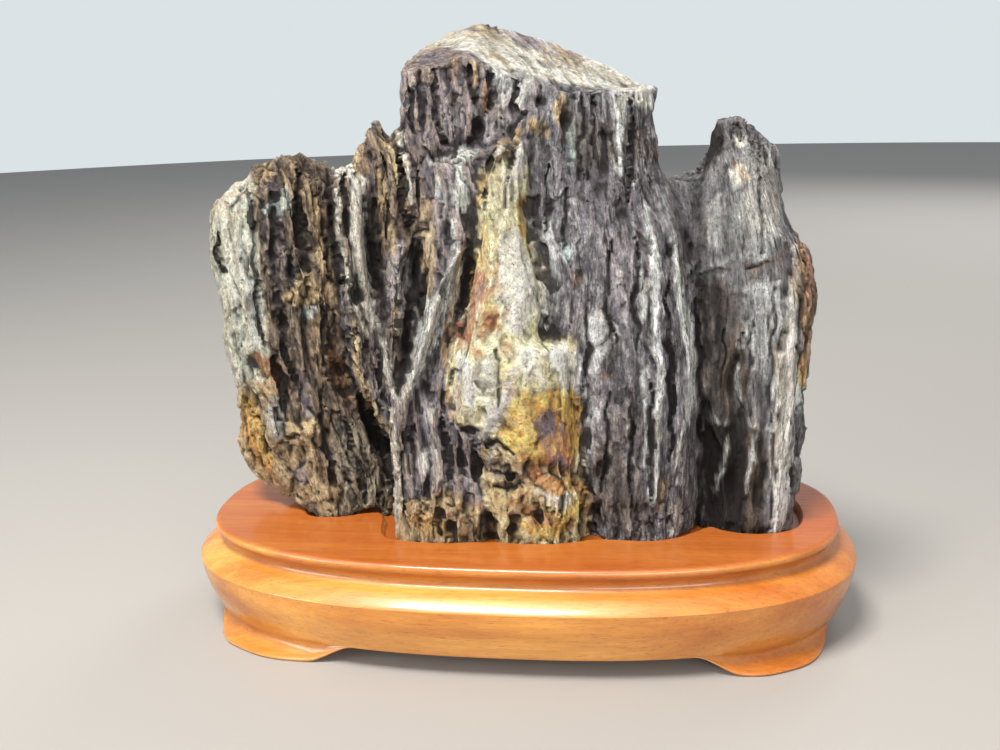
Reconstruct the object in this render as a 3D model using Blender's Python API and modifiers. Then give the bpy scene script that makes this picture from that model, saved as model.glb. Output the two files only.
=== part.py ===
"""A layered viewing stone that rests in the carved seat of an oval wood stand."""

import bpy
import bmesh
import numpy as np
from math import atan2, copysign, cos, pi, radians, sin
from mathutils import Vector, noise

MM = 0.001

# Stand, in millimetres
STAND_HEIGHT = 48.0
LIP_HALF_LENGTH = 141.5
LIP_HALF_WIDTH = 74.9
LIP_SQUARENESS = 2.52
STAND_STEPS = 72
WALL = 15.0
UNDERSIDE_HEIGHT = 10.5

# Seat, in millimetres
SEAT_DEPTH = 4.0
REST_GAP = 0.3

# Stone, in millimetres
STONE_VOXEL = 2.0
STONE_TRIANGLES = 6300
STRIATION = 1.3
REAR_RELIEF = 7.0
REAR_SLOTS = 22.0

# The stone's outlines are drawn on an upright sheet in front of it and carried back to
# their own depth along lines from this point.
EYE = Vector((70.0, -520.6, 244.8))
SHEET_Y = -30.0


def clear_scene():
    for item in list(bpy.data.objects):
        bpy.data.objects.remove(item, do_unlink=True)


def make_collection(name):
    group = bpy.data.collections.new(name)
    bpy.context.scene.collection.children.link(group)
    return group


def make_material(name, colour, roughness, coat=0.0):
    material = bpy.data.materials.new(name)
    material.use_nodes = True
    shader = material.node_tree.nodes["Principled BSDF"]
    shader.inputs["Base Color"].default_value = (*colour, 1.0)
    shader.inputs["Roughness"].default_value = roughness
    shader.inputs["Coat Weight"].default_value = coat
    return material


def add_object(name, mesh, group):
    item = bpy.data.objects.new(name, mesh)
    group.objects.link(item)
    return item


def mesh_from(bm, name):
    bmesh.ops.recalc_face_normals(bm, faces=bm.faces)
    mesh = bpy.data.meshes.new(name)
    bm.to_mesh(mesh)
    bm.free()
    return mesh


def bake(item):
    """Replace an object's mesh by what its modifiers make of it."""
    graph = bpy.context.evaluated_depsgraph_get()
    mesh = bpy.data.meshes.new_from_object(item.evaluated_get(graph))
    item.modifiers.clear()
    item.data = mesh


def subtract(item, cutter):
    cutter.hide_render = True
    cutter.display_type = "WIRE"
    cut = item.modifiers.new(cutter.name, "BOOLEAN")
    cut.operation = "DIFFERENCE"
    cut.solver = "EXACT"
    cut.object = cutter


def prism(name, outline, bottom, top, group):
    """An upright block with the given plan outline, in millimetres."""
    bm = bmesh.new()
    corners = [bm.verts.new((x * MM, y * MM, bottom * MM)) for x, y in outline]
    base = bm.faces.new(corners)
    grown = bmesh.ops.extrude_face_region(bm, geom=[base])["geom"]
    risen = [part for part in grown if isinstance(part, bmesh.types.BMVert)]
    bmesh.ops.translate(bm, verts=risen, vec=(0, 0, (top - bottom) * MM))
    return add_object(name, mesh_from(bm, name), group)


# Stand

# The turned edge, from the lip down: how far each point stands out from the lip, and its height
# below it. The last ones, from FOOT_ROOT down, make the feet and close up between them.
EDGE_PROFILE = [
    (-1.0, 0.0), (0.4, -0.4), (1.0, -1.6), (0.9, -3.2), (-1.2, -5.2), (-2.4, -7.2), (-1.9, -9.2),
    (0.4, -10.6), (3.6, -11.8), (6.2, -13.6), (8.9, -16.2), (8.7, -18.6), (7.9, -23.0), (6.4, -28.0),
    (4.4, -33.0), (1.9, -38.5),
]
FOOT_ROOT = 38.5
FOOT_PROFILE = [
    (-0.2, -41.2), (0.2, -43.4), (2.8, -45.2), (6.8, -46.2), (8.6, -46.9), (8.4, -47.6), (7.0, -48.0),
    (-WALL + 5.0, -48.0), (-WALL, -43.0),
]
APRON_EDGE = 0.14

# Each foot's middle on the lip's outline, and how far from it the foot reaches, at the table and at
# the apron: inwards on the left pair, inwards on the right pair, and towards the stand's ends
FOOT_MIDDLE = (113.0, 53.5)
LEFT_FEET_INWARDS = (30.0, 52.0)
RIGHT_FEET_INWARDS = (17.0, 37.0)
FEET_ENDWARDS = (21.0, 38.0)


def oval_point(angle):
    """A point of the lip's outline and the outward direction there."""
    c, s = cos(angle), sin(angle)
    power = 2.0 / LIP_SQUARENESS
    x = LIP_HALF_LENGTH * copysign(abs(c) ** power, c)
    y = LIP_HALF_WIDTH * copysign(abs(s) ** power, s)
    slope_x = copysign(abs(x / LIP_HALF_LENGTH) ** (LIP_SQUARENESS - 1), x) / LIP_HALF_LENGTH
    slope_y = copysign(abs(y / LIP_HALF_WIDTH) ** (LIP_SQUARENESS - 1), y) / LIP_HALF_WIDTH
    return Vector((x, y, 0.0)), Vector((slope_x, slope_y, 0.0)).normalized()


def ease(amount):
    amount = min(max(amount, 0.0), 1.0)
    return amount * amount * (3.0 - 2.0 * amount)


def foot_share(point):
    """How far down the foot reaches at a point of the outline, and how far its toe flares out."""
    middle = Vector(FOOT_MIDDLE)
    away = (Vector((abs(point.x), abs(point.y))) - middle).length
    if abs(point.x) > middle.x:
        table, apron = FEET_ENDWARDS
    else:
        table, apron = LEFT_FEET_INWARDS if point.x < 0.0 else RIGHT_FEET_INWARDS
    reach = ease((apron - away) / (apron - table))
    flare = ease((apron - away) / (0.85 * apron))
    return reach, flare


def press_to_oval(vert):
    """Move a vertex of the round blank to the oval, and shape the feet out of its lowest rows."""
    x, y, z = vert.co / MM
    radius = (x * x + y * y) ** 0.5
    if radius < 1.0:
        return
    point, outward = oval_point(atan2(y, x))
    out = radius - LIP_HALF_WIDTH
    below = STAND_HEIGHT - z
    if below > FOOT_ROOT + 0.1 and out > -WALL - 0.5:
        reach, flare = foot_share(point)
        z = STAND_HEIGHT - FOOT_ROOT - (below - FOOT_ROOT) * (APRON_EDGE + (1.0 - APRON_EDGE) * reach)
        if out > 0.0:
            out *= flare
    spot = point + outward * out
    vert.co = Vector((spot.x, spot.y, z)) * MM


def make_stand(parts, cutters):
    """Turn the edge profile round, press the round blank to the lip's oval, and cut the seat."""
    underside = UNDERSIDE_HEIGHT - STAND_HEIGHT
    section = [(-LIP_HALF_WIDTH, 0.0)] + EDGE_PROFILE + FOOT_PROFILE
    section += [(-WALL - 1.0, underside), (-LIP_HALF_WIDTH, underside)]
    bm = bmesh.new()
    verts = [bm.verts.new(((LIP_HALF_WIDTH + out) * MM, 0, (STAND_HEIGHT + z) * MM)) for out, z in section]
    for upper, lower in zip(verts, verts[1:]):
        bm.edges.new((upper, lower))
    mesh = bpy.data.meshes.new("stand")
    bm.to_mesh(mesh)
    bm.free()
    stand = add_object("stand", mesh, parts)
    turn = stand.modifiers.new("turn", "SCREW")
    turn.steps = STAND_STEPS
    turn.render_steps = STAND_STEPS
    turn.use_merge_vertices = True
    turn.merge_threshold = 0.00001
    bake(stand)
    for vert in stand.data.vertices:
        press_to_oval(vert)
    floor = STAND_HEIGHT - SEAT_DEPTH
    subtract(stand, prism("seat_cut", SEAT_OUTLINE, floor, STAND_HEIGHT + 5.0, cutters))
    bake(stand)
    return stand


# The seat's plan outline, which follows the stone's foot
SEAT_OUTLINE = [
    (-100, -4), (-99, -17), (-92, -22), (-80, -21), (-70, -15), (-61, -14), (-58, -36), (-53, -46),
    (-42, -48), (-26, -49), (-12, -46), (4, -47), (18, -47), (28, -44), (36, -40), (48, -40), (60, -41),
    (72, -36), (80, -28), (86, -21), (92, -27), (104, -30), (116, -27), (124, -21), (127, -6), (126, 12),
    (118, 26), (100, 34), (80, 38), (40, 43), (0, 46), (-30, 41), (-60, 28), (-86, 26), (-97, 16),
]

# Stone masses: levels from the bottom up, each (z, left, right, front, back). Left, right and z
# are read on the sheet, front and back are depths.
MASSES = {
    "left_column": [
        (60, -103, -94, -8, 4), (66, -109, -88, -12, 8), (75, -118, -86, -14, 16),
        (85, -123, -86, -14, 24), (97, -121, -86, -15, 30), (126, -121.5, -88, -15, 34),
        (150, -122.8, -90, -14, 36), (165, -126, -92, -13, 36), (180, -127.5, -94, -12, 34),
        (190, -124, -96, -10, 32), (197, -119, -98, -6, 28), (203, -111, -101, 0, 20)],
    "left_body": [
        (47, -87, -76, -20, 8), (57, -90, -62, -20, 18), (62, -97, -54, -21, 24),
        (75, -106, -54, -22, 28), (95, -109, -57, -22, 34), (115, -109, -67, -23, 36),
        (160, -108, -72, -22, 38), (180, -107, -74, -20, 38), (197, -108, -75, -16, 34),
        (207, -106, -77, -10, 28), (213, -97, -85, -2, 18)],
    "left_sliver": [
        (120, -79, -70, -16, 20), (170, -79, -70.5, -14, 24), (203, -79, -71, -8, 24),
        (210, -78, -75, 0, 14)],
    "pale_blade": [
        (47, -60, -49, -12, 10), (80, -58, -44, -14, 26), (95, -63, -46, -16, 30),
        (135, -69, -52, -18, 34), (175, -73, -56, -17, 34), (195, -72, -57.5, -14, 30),
        (204, -69, -59, -8, 22), (209.5, -66, -62, -2, 12)],
    "spike": [
        (120, -58, -42, -2, 30), (190, -61, -42, 4, 34), (208, -59, -43, 8, 32),
        (217, -57, -47.5, 12, 28), (225, -53, -50.8, 16, 24)],
    "thin_blades": [
        (60, -50, -34, -30, 10), (110, -52, -34, -22, 24), (150, -52, -34, -16, 30),
        (200, -49, -36, -8, 32), (214, -48, -38, -2, 28), (222, -44.5, -39, 4, 20)],
    "tower": [
        (38, -46, 70, -26, 40), (90, -48, 72, -28, 46), (150, -45, 72, -26, 48),
        (200, -42, 67, -20, 46), (225, -40.5, 64.5, -18, 44), (240, -41, 61, -16, 43),
        (252, -40, 60, -14, 43), (270, -37, 59, -12, 42)],
    "grey_block": [
        (70, -48, -12, -40, 0), (110, -45, -10, -39, 0), (140, -36, -8, -38, 0),
        (170, -31, -6, -36, 0), (196, -30, -6, -33, 0), (207, -30, -6, -31, 0),
        (213, -20, -8, -29, -6)],
    "slanting_slab": [
        (86, -50, -42, -44, -10), (107, -49, -38, -46, -10), (131, -38, -31, -46, -12),
        (158, -28, -23, -44, -14), (173, -19, -14, -40, -14)],
    "left_buttress": [
        (36, -54, -13, -46, -10), (50, -53.5, -13, -46.5, -10), (62, -52, -14, -45, -8),
        (80, -51, -14, -44, -6), (100, -52, -20, -43, -4), (112, -47, -26, -41, -4)],
    "yellow_face": [
        (38, -24, 30, -43, 0), (50, -26, 33.5, -46, 0), (62, -24, 35, -47, 0), (76, -21, 33.6, -47, 0),
        (95, -26, 30.5, -47, 0), (116, -28.5, 30.5, -46.5, 0), (132, -25, 30.5, -46, 0),
        (137, -22, 17, -45, 0), (159, -15.5, 17, -43, 0), (174, -13.5, 13, -40, 0),
        (188, -12.5, 10, -37, 0), (203, -10, 10, -32, 0), (216, -6, 12, -26, 0)],
    "right_centre": [
        (38, 28, 78, -37, 30), (60, 28, 80, -38, 34), (110, 26, 80.5, -39, 36),
        (140, 13, 80, -38, 36), (165, 12, 79.5, -36, 36), (183, 9, 75, -32, 36),
        (200, 7, 68, -27, 36), (220, 8, 64.5, -22, 34), (236, 12, 62, -19, 30)],
    "saddle": [
        (40, 66, 100, -14, 34), (110, 66, 100, -16, 36), (165, 64, 92, -16, 34),
        (190, 63, 84, -12, 30), (200.5, 64, 80, -6, 24)],
    "wing": [
        (38, 80, 119, -25, 28), (54, 80, 120.4, -26, 30), (84, 80, 123, -27, 34),
        (113, 79, 125, -27, 36), (139, 77, 127, -26, 36), (160, 76, 126.3, -24, 36),
        (176, 75, 120.5, -22, 34), (186, 75, 114, -20, 32), (199, 77, 111.2, -16, 28),
        (207, 79.5, 110.3, -12, 24), (213, 81, 106, -8, 20), (219, 82.5, 98, -4, 14),
        (222.3, 83, 92, 0, 8)],
    "rust_rim": [
        (50, 108, 121, -20, 16), (84, 112, 123.3, -20, 22), (113, 114, 125.6, -20, 26),
        (139, 115, 127.6, -19, 28), (160, 115, 127, -17, 28), (170, 116, 125, -14, 24),
        (178, 116.5, 120, -8, 16)],
}

# The tower's top falls towards the front, and away on both sides of its peak: each cut is a
# point of the sheet with its depth, the slope to the right and the slope to the back
TOP_CUTS = [
    ((-8.0, 259.5), 25.0, -0.36, 0.30),
    ((-8.0, 259.5), 25.0, 0.30, 0.30),
    ((-34.0, 254.0), 20.0, 0.75, 0.35),
]

# Slots and hollows: depth, then the path (x, z, half-width) on the sheet
SLOTS = [
    (15, [(-74, 207, 1.6), (-73.5, 193, 2.6), (-73.5, 178, 2.6), (-72, 163, 2.4), (-73, 142, 1.4)]),
    (24, [(-69.5, 119, 1.4), (-66, 104, 2.6), (-62, 94, 3.6), (-57.5, 83, 4.2), (-53, 70, 3.4)]),
    (13, [(-54.5, 197, 1.4), (-55, 176, 2.0), (-52.5, 158, 2.0), (-53.5, 138, 1.4)]),
    (11, [(-45, 135, 2.5), (-44.5, 124, 3.8), (-47, 113, 2.2)]),
    (8, [(-63.5, 168, 1.2), (-63, 152, 1.8), (-61.5, 138, 1.2)]),
    (10, [(-93, 174, 1.4), (-93, 164, 2.2), (-94, 154, 1.2)]),
    (8, [(-100, 205, 1.2), (-99, 185, 2.0), (-101, 160, 1.6), (-100, 138, 1.2)]),
    (9, [(-36, 178, 2.4), (-38, 163, 4.0), (-37, 149, 4.0), (-36, 139, 2.0)]),
    (11, [(-12.4, 183, 1.2), (-13.8, 171, 1.8), (-16.7, 156, 2.2), (-19.5, 147, 2.2), (-23, 133, 1.4)]),
    (7, [(-24, 188, 1.2), (-24, 178, 1.8), (-24, 168, 1.2)]),
    (7, [(-38.5, 94, 1.2), (-39, 82, 1.8)]),
    (7, [(-16, 87, 1.6), (-15.5, 74, 2.4), (-13.5, 62, 1.8)]),
    (8, [(-45, 99, 1.0), (-46, 88, 2.0), (-45, 77, 1.2)]),
    (14, [(-11, 57, 1.8), (-11, 48, 3.6), (-11, 38, 4.4)]),
    (9, [(0, 56, 1.4), (0, 38, 2.4)]),
    (8, [(22, 51, 1.2), (22, 38, 2.0)]),
    (9, [(35, 60, 1.6), (36, 38, 2.6)]),
    (9, [(-21.5, 246, 1.4), (-21.5, 233, 1.8)]),
    (7, [(-15.5, 252, 1.2), (-14.5, 232, 1.4)]),
    (8, [(-7, 229, 1.8), (-8.5, 221, 2.2), (-12, 216, 1.8), (-22, 210, 1.6), (-30, 208, 1.4)]),
    (13, [(43, 230, 1.8), (42.3, 218, 2.4), (40.5, 207, 2.8), (38, 194, 2.6), (36, 184, 1.6)]),
    (8, [(28.3, 236, 1.2), (26.5, 224, 1.8), (25, 213, 1.2)]),
    (8, [(48, 195, 1.3), (48, 182, 1.8)]),
    (7, [(58, 226, 1.6), (58, 216, 1.8)]),
    (12, [(73.5, 181, 2.0), (76, 172, 3.0), (75, 163, 1.6)]),
    (7, [(67.5, 179, 1.6), (68.5, 164, 1.4)]),
    (8, [(31, 165, 2.0), (31, 156, 2.0)]),
    (7, [(38, 78, 2.0), (38, 71, 2.2)]),
    (8, [(81, 158, 2.0), (85, 149, 4.2), (86, 134, 3.4), (83, 122, 1.6)]),
    (10, [(82.5, 112, 1.6), (84, 92, 3.0), (86, 70, 3.4), (88, 48, 4.0)]),
    (8, [(95, 130, 2.4), (94, 112, 3.2), (97, 92, 3.6), (96, 70, 3.6), (95, 50, 3.6)]),
    (5, [(108, 96, 1.4), (107, 74, 1.8), (106, 52, 1.6)]),
    (5, [(113.5, 178, 1.0), (115, 160, 1.6), (114.5, 132, 1.4), (115.5, 108, 1.0)]),
]

# Raised ribs and lumps: height, then the path (x, z, half-width) on the sheet
RIBS = [
    (4.5, [(-58.5, 200, 2.4), (-61, 182, 2.6), (-60, 160, 2.2), (-56, 138, 2.2), (-51.5, 114, 1.6)]),
    (3.5, [(-70, 197, 2.0), (-69.5, 175, 2.0), (-67, 152, 1.8), (-61.5, 136, 1.6)]),
    (3.0, [(-66.5, 132, 1.8), (-64, 113, 1.8), (-56, 94, 1.8)]),
    (4.0, [(-86, 160, 3.6), (-90, 152, 3.6)]),
    (3.5, [(-97, 86, 4.0), (-88, 92, 4.0)]),
    (3.0, [(-113, 188, 5.0), (-114, 150, 4.0), (-113, 128, 4.0)]),
    (3.0, [(-112, 104, 5.0), (-106, 84, 4.0)]),
    (3.0, [(-82, 204, 2.4), (-80, 170, 2.6), (-79, 130, 2.6), (-74, 100, 2.4)]),
    (4.0, [(-44, 172, 3.0), (-45, 150, 3.6), (-43, 132, 2.4)]),
    (4.0, [(-31.5, 190, 2.4), (-32, 172, 3.0), (-33, 152, 2.4)]),
    (3.0, [(-18, 206, 2.6), (-17.5, 186, 2.6), (-16.5, 176, 1.6)]),
    (2.6, [(0.5, 118, 2.6), (-2, 106, 3.4), (-8, 97, 3.4), (-13, 86, 2.6)]),
    (2.6, [(-19, 122, 4.5), (-17, 102, 4.0)]),
    (2.6, [(-33, 100, 2.6), (-33, 84, 3.0), (-31, 66, 3.0)]),
    (3.4, [(-44, 56, 6.0), (-26, 54, 6.0)]),
    (3.0, [(-6, 80, 4.0), (-4, 62, 4.4), (-5, 45, 2.2)]),
    (3.0, [(8, 64, 4.6), (15, 50, 4.0), (16, 42, 2.6)]),
    (3.0, [(25, 70, 4.0), (28, 54, 4.0)]),
    (2.4, [(62, 178, 2.8), (62, 150, 2.0), (64.5, 122, 2.4), (63.5, 92, 2.0), (62, 60, 1.6)]),
    (2.2, [(72, 158, 1.8), (76.5, 132, 2.4), (76, 105, 2.0), (72.5, 78, 1.6)]),
    (2.6, [(51, 150, 4.0), (52, 120, 3.4), (50, 90, 3.6)]),
    (2.2, [(13, 224, 4.6), (22, 229, 3.2), (23, 214, 2.6)]),
    (2.6, [(8, 217, 2.0), (-3, 210, 2.6), (-9, 196, 2.2), (-10, 184, 1.4)]),
    (2.2, [(96, 200, 4.6), (95, 212, 4.0)]),
    (3.0, [(98, 165.5, 1.6), (113, 170, 1.8)]),
    (3.5, [(101, 55, 6.0), (101, 50, 6.0)]),
    (2.5, [(102, 120, 2.0), (104, 90, 2.2), (101, 66, 2.0)]),
]


def carry(x, z, depth):
    """Carry a point of the sheet to its own depth, along the line from the eye."""
    stretch = (depth - EYE.y) / (SHEET_Y - EYE.y)
    return Vector((EYE.x + (x - EYE.x) * stretch, depth, EYE.z + (z - EYE.z) * stretch))


def loft(name, levels, group, sides=20, squareness=2.8):
    """A mass of the stone: rounded level sections, joined from the bottom up."""
    bm = bmesh.new()
    rings = []
    for z, left, right, front, back in levels:
        middle = (front + back) / 2
        low = carry(left, z, middle)
        high = carry(right, z, middle)
        ring = []
        for side in range(sides):
            c, s = cos(2 * pi * side / sides), sin(2 * pi * side / sides)
            across = copysign(abs(c) ** (2 / squareness), c) * (high.x - low.x) / 2
            deep = copysign(abs(s) ** (2 / squareness), s) * (back - front) / 2
            ring.append(bm.verts.new(Vector(((low.x + high.x) / 2 + across, middle + deep, low.z)) * MM))
        rings.append(ring)
    for lower, upper in zip(rings, rings[1:]):
        for side in range(sides):
            after = (side + 1) % sides
            bm.faces.new((lower[side], lower[after], upper[after], upper[side]))
    bm.faces.new(rings[0][::-1])
    bm.faces.new(rings[-1])
    return add_object(name, mesh_from(bm, name), group)


def slice_top(item, cuts):
    """Take off what stands above each sloping plane."""
    bm = bmesh.new()
    bm.from_mesh(item.data)
    for (x, z), depth, slope_right, slope_back in cuts:
        point = carry(x, z, depth) * MM
        up = Vector((-slope_right, -slope_back, 1.0)).normalized()
        everything = bm.verts[:] + bm.edges[:] + bm.faces[:]
        cut = bmesh.ops.bisect_plane(bm, geom=everything, plane_co=point, plane_no=up, clear_outer=True)
        rim = [part for part in cut["geom_cut"] if isinstance(part, bmesh.types.BMEdge)]
        bmesh.ops.holes_fill(bm, edges=rim)
    bm.to_mesh(item.data)
    bm.free()


def remesh(item, voxel):
    step = item.modifiers.new("fuse", "REMESH")
    step.mode = "VOXEL"
    step.voxel_size = voxel * MM
    bake(item)


def read_points(mesh):
    """Vertex places and normals, in millimetres."""
    places = np.empty(len(mesh.vertices) * 3)
    normals = np.empty(len(mesh.vertices) * 3)
    mesh.vertices.foreach_get("co", places)
    mesh.vertices.foreach_get("normal", normals)
    return places.reshape(-1, 3) / MM, normals.reshape(-1, 3)


def write_points(mesh, places):
    mesh.vertices.foreach_set("co", (places * MM).ravel())
    mesh.update()


def stroke_height(x, z, path):
    """How much of a stroke each point gets: 1 on its line, 0 at its half-width."""
    height = np.zeros(len(x))
    for (x0, z0, w0), (x1, z1, w1) in zip(path, path[1:]):
        length = (x1 - x0) ** 2 + (z1 - z0) ** 2
        along = np.clip(((x - x0) * (x1 - x0) + (z - z0) * (z1 - z0)) / length, 0, 1)
        width = w0 + (w1 - w0) * along
        away = np.hypot(x - x0 - (x1 - x0) * along, z - z0 - (z1 - z0) * along) / (1.4 * width)
        height = np.maximum(height, np.clip(1 - away ** 2, 0, 1) ** 1.5)
    return height


def carve_front(item):
    """Press the slots in and lift the ribs, along the lines from the eye."""
    places, normals = read_points(item.data)
    ray = places - np.array(EYE)
    ray /= np.linalg.norm(ray, axis=1)[:, None]
    stretch = (SHEET_Y - EYE.y) / (places[:, 1] - EYE.y)
    x = EYE.x + (places[:, 0] - EYE.x) * stretch
    z = EYE.z + (places[:, 2] - EYE.z) * stretch
    facing = np.clip((-(normals * ray).sum(axis=1) - 0.05) / 0.35, 0, 1)
    push = np.zeros(len(places))
    for depth, path in SLOTS:
        push = np.maximum(push, depth * stroke_height(x, z, path))
    for height, path in RIBS:
        push -= height * stroke_height(x, z, path)
    write_points(item.data, places + ray * (push * facing)[:, None])


def striate(item):
    """Rough layers that stand upright and run from front to back, with slots and ledges behind."""
    places, normals = read_points(item.data)
    turned = np.clip((normals[:, 1] + 0.35) / 0.5, 0, 1) * (1.0 - 0.9 * np.clip(normals[:, 2], 0, 1))
    moved = []
    for place, normal, rear in zip(places, normals, turned):
        x, y, z = place
        across = x + 0.45 * y
        layer = Vector((across / 6.0, y / 30.0, z / 42.0))
        fine = noise.turbulence(layer, 3, False) - 0.55
        broad = noise.noise(Vector((across / 17.0 + 7, y / 40.0 + 3, z / 60.0 + 1)))
        lump = noise.noise(Vector((across / 30.0 + 2, y / 50.0, z / 46.0 + 8)))
        slot = max(0.0, noise.noise(Vector((across / 9.0 + 31, y / 34.0 + 5, z / 60.0 + 9))) - 0.2)
        upright = 1.0 - 0.5 * abs(normal[2])
        move = STRIATION * (2.0 * fine * upright + 0.5 * broad)
        move += rear * (REAR_RELIEF * (0.8 * broad + lump - 0.15) - REAR_SLOTS * slot)
        moved.append(place + normal * move)
    write_points(item.data, np.array(moved))


def make_stone(parts, cutters):
    scrap = [loft(name, levels, parts) for name, levels in MASSES.items()]
    slice_top(next(item for item in scrap if item.name == "tower"), TOP_CUTS)
    bm = bmesh.new()
    for item in scrap:
        bm.from_mesh(item.data)
        bpy.data.objects.remove(item)
    stone = add_object("stone", mesh_from(bm, "stone"), parts)
    remesh(stone, STONE_VOXEL)
    carve_front(stone)
    remesh(stone, STONE_VOXEL)
    striate(stone)
    remesh(stone, STONE_VOXEL)
    thin = stone.modifiers.new("facets", "DECIMATE")
    thin.ratio = STONE_TRIANGLES / (2 * len(stone.data.polygons))
    bake(stone)
    base = STAND_HEIGHT - SEAT_DEPTH + REST_GAP
    room = [(-200, -200), (200, -200), (200, 200), (-200, 200)]
    subtract(stone, prism("flat_foot", room, -60.0, base, cutters))
    collar = prism("collar", room, base - 1.0, STAND_HEIGHT + REST_GAP, cutters)
    subtract(collar, prism("seat_fit", inset(SEAT_OUTLINE, 1.0), 0.0, 100.0, cutters))
    bake(collar)
    subtract(stone, collar)
    bake(stone)
    keep_largest(stone)
    return stone


def inset(outline, gap):
    """Move each corner of a plan outline inwards, towards the middle of its neighbours."""
    moved = []
    for index, (x, y) in enumerate(outline):
        before = Vector(outline[index - 1])
        after = Vector(outline[(index + 1) % len(outline)])
        along = (after - before).normalized()
        moved.append((x - along.y * gap, y + along.x * gap))
    return moved


def keep_largest(item):
    """Drop crumbs that a cut has parted from the stone."""
    bm = bmesh.new()
    bm.from_mesh(item.data)
    bmesh.ops.remove_doubles(bm, verts=bm.verts, dist=0.00002)
    left = set(bm.verts)
    groups = []
    while left:
        start = left.pop()
        found = {start}
        edge_of = [start]
        while edge_of:
            vert = edge_of.pop()
            for edge in vert.link_edges:
                other = edge.other_vert(vert)
                if other in left:
                    left.remove(other)
                    found.add(other)
                    edge_of.append(other)
        groups.append(found)
    groups.sort(key=len)
    for crumb in groups[:-1]:
        bmesh.ops.delete(bm, geom=list(crumb), context="VERTS")
    bm.to_mesh(item.data)
    bm.free()


def main():
    clear_scene()
    parts = make_collection("viewing_stone")
    cutters = make_collection("cutters")
    stone = make_stone(parts, cutters)
    stand = make_stand(parts, cutters)
    stone.data.materials.clear()
    stone.data.materials.append(make_material("layered_rock", (0.16, 0.14, 0.13), 0.8))
    stand.data.materials.clear()
    stand.data.materials.append(make_material("oiled_wood", (0.60, 0.22, 0.05), 0.32, 0.4))
    stand.data.shade_smooth()
    stand.data.set_sharp_from_angle(angle=radians(35))
    for item in (stone, stand):
        print(item.name, len(item.data.polygons), "faces")


main()
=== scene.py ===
from math import atan2, copysign, cos, pi, sin

import bpy
import numpy as np
from mathutils import Matrix, Vector, noise


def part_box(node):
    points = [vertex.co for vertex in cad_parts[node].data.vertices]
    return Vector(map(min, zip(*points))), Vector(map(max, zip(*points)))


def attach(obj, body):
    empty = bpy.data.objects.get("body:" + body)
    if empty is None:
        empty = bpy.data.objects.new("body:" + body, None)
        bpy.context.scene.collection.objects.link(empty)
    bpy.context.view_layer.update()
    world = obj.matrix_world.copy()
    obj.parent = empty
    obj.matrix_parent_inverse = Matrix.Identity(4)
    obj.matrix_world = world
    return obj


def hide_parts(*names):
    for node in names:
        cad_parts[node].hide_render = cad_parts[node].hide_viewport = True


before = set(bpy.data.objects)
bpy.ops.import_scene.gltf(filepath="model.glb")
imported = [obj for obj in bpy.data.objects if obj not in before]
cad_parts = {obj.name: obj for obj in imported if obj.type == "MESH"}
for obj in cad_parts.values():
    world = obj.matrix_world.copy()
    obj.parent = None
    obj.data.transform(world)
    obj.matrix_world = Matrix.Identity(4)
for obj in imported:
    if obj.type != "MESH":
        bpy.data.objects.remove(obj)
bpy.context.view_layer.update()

mm = 0.001
standHeight = (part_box("stand")[1] / mm).z
stoneFoot = (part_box("stone")[0] / mm).z

# Viewing point of the photograph, and the upright sheet that the stone's outlines are drawn on
eye = Vector((70.0, -520.6, 244.8))
sheetDepth = -30.0


# Linear colour of an sRGB one
def srgb(*colour):
    return tuple(c / 12.92 if c <= 0.04045 else ((c + 0.055) / 1.055) ** 2.4 for c in colour)


def deselectAll():
    for other in bpy.context.selected_objects:
        other.select_set(False)


def pick(piece):
    deselectAll()
    piece.select_set(True)
    bpy.context.view_layer.objects.active = piece


def applyAll(piece):
    pick(piece)
    for modifier in list(piece.modifiers):
        bpy.ops.object.modifier_apply(modifier=modifier.name)


# A plain round bar of radius 1, one loop for each level, its height counting the levels
def extrudeBlank(name, corners, levels):
    deselectAll()
    bpy.ops.mesh.primitive_circle_add(vertices=corners, radius=1.0, fill_type="NGON")
    blank = bpy.context.object
    blank.name = blank.data.name = name
    bpy.ops.object.mode_set(mode="EDIT")
    for _ in range(levels - 1):
        bpy.ops.mesh.extrude_region_move(TRANSFORM_OT_translate={"value": (0, 0, 1)})
    bpy.ops.object.mode_set(mode="OBJECT")
    return blank


def tidyNormals(piece):
    pick(piece)
    bpy.ops.object.mode_set(mode="EDIT")
    bpy.ops.mesh.select_all(action="SELECT")
    bpy.ops.mesh.normals_make_consistent(inside=False)
    bpy.ops.object.mode_set(mode="OBJECT")


# Cut off what lies past a plane, and close the cut
def cutAway(piece, point, outward):
    pick(piece)
    bpy.ops.object.mode_set(mode="EDIT")
    bpy.ops.mesh.select_all(action="SELECT")
    bpy.ops.mesh.bisect(plane_co=point * mm, plane_no=outward, use_fill=True, clear_outer=True)
    bpy.ops.object.mode_set(mode="OBJECT")


def voxelRemesh(piece, voxel):
    step = piece.modifiers.new("fuse", "REMESH")
    step.mode = "VOXEL"
    step.voxel_size = voxel * mm
    applyAll(piece)


def readPoints(mesh):
    places = np.empty(len(mesh.vertices) * 3)
    normals = np.empty(len(mesh.vertices) * 3)
    mesh.vertices.foreach_get("co", places)
    mesh.vertices.foreach_get("normal", normals)
    return places.reshape(-1, 3) / mm, normals.reshape(-1, 3)


def writePoints(mesh, places):
    mesh.vertices.foreach_set("co", (places * mm).ravel())
    mesh.update()


def wave(*place):
    return noise.noise(Vector(place))


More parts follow.
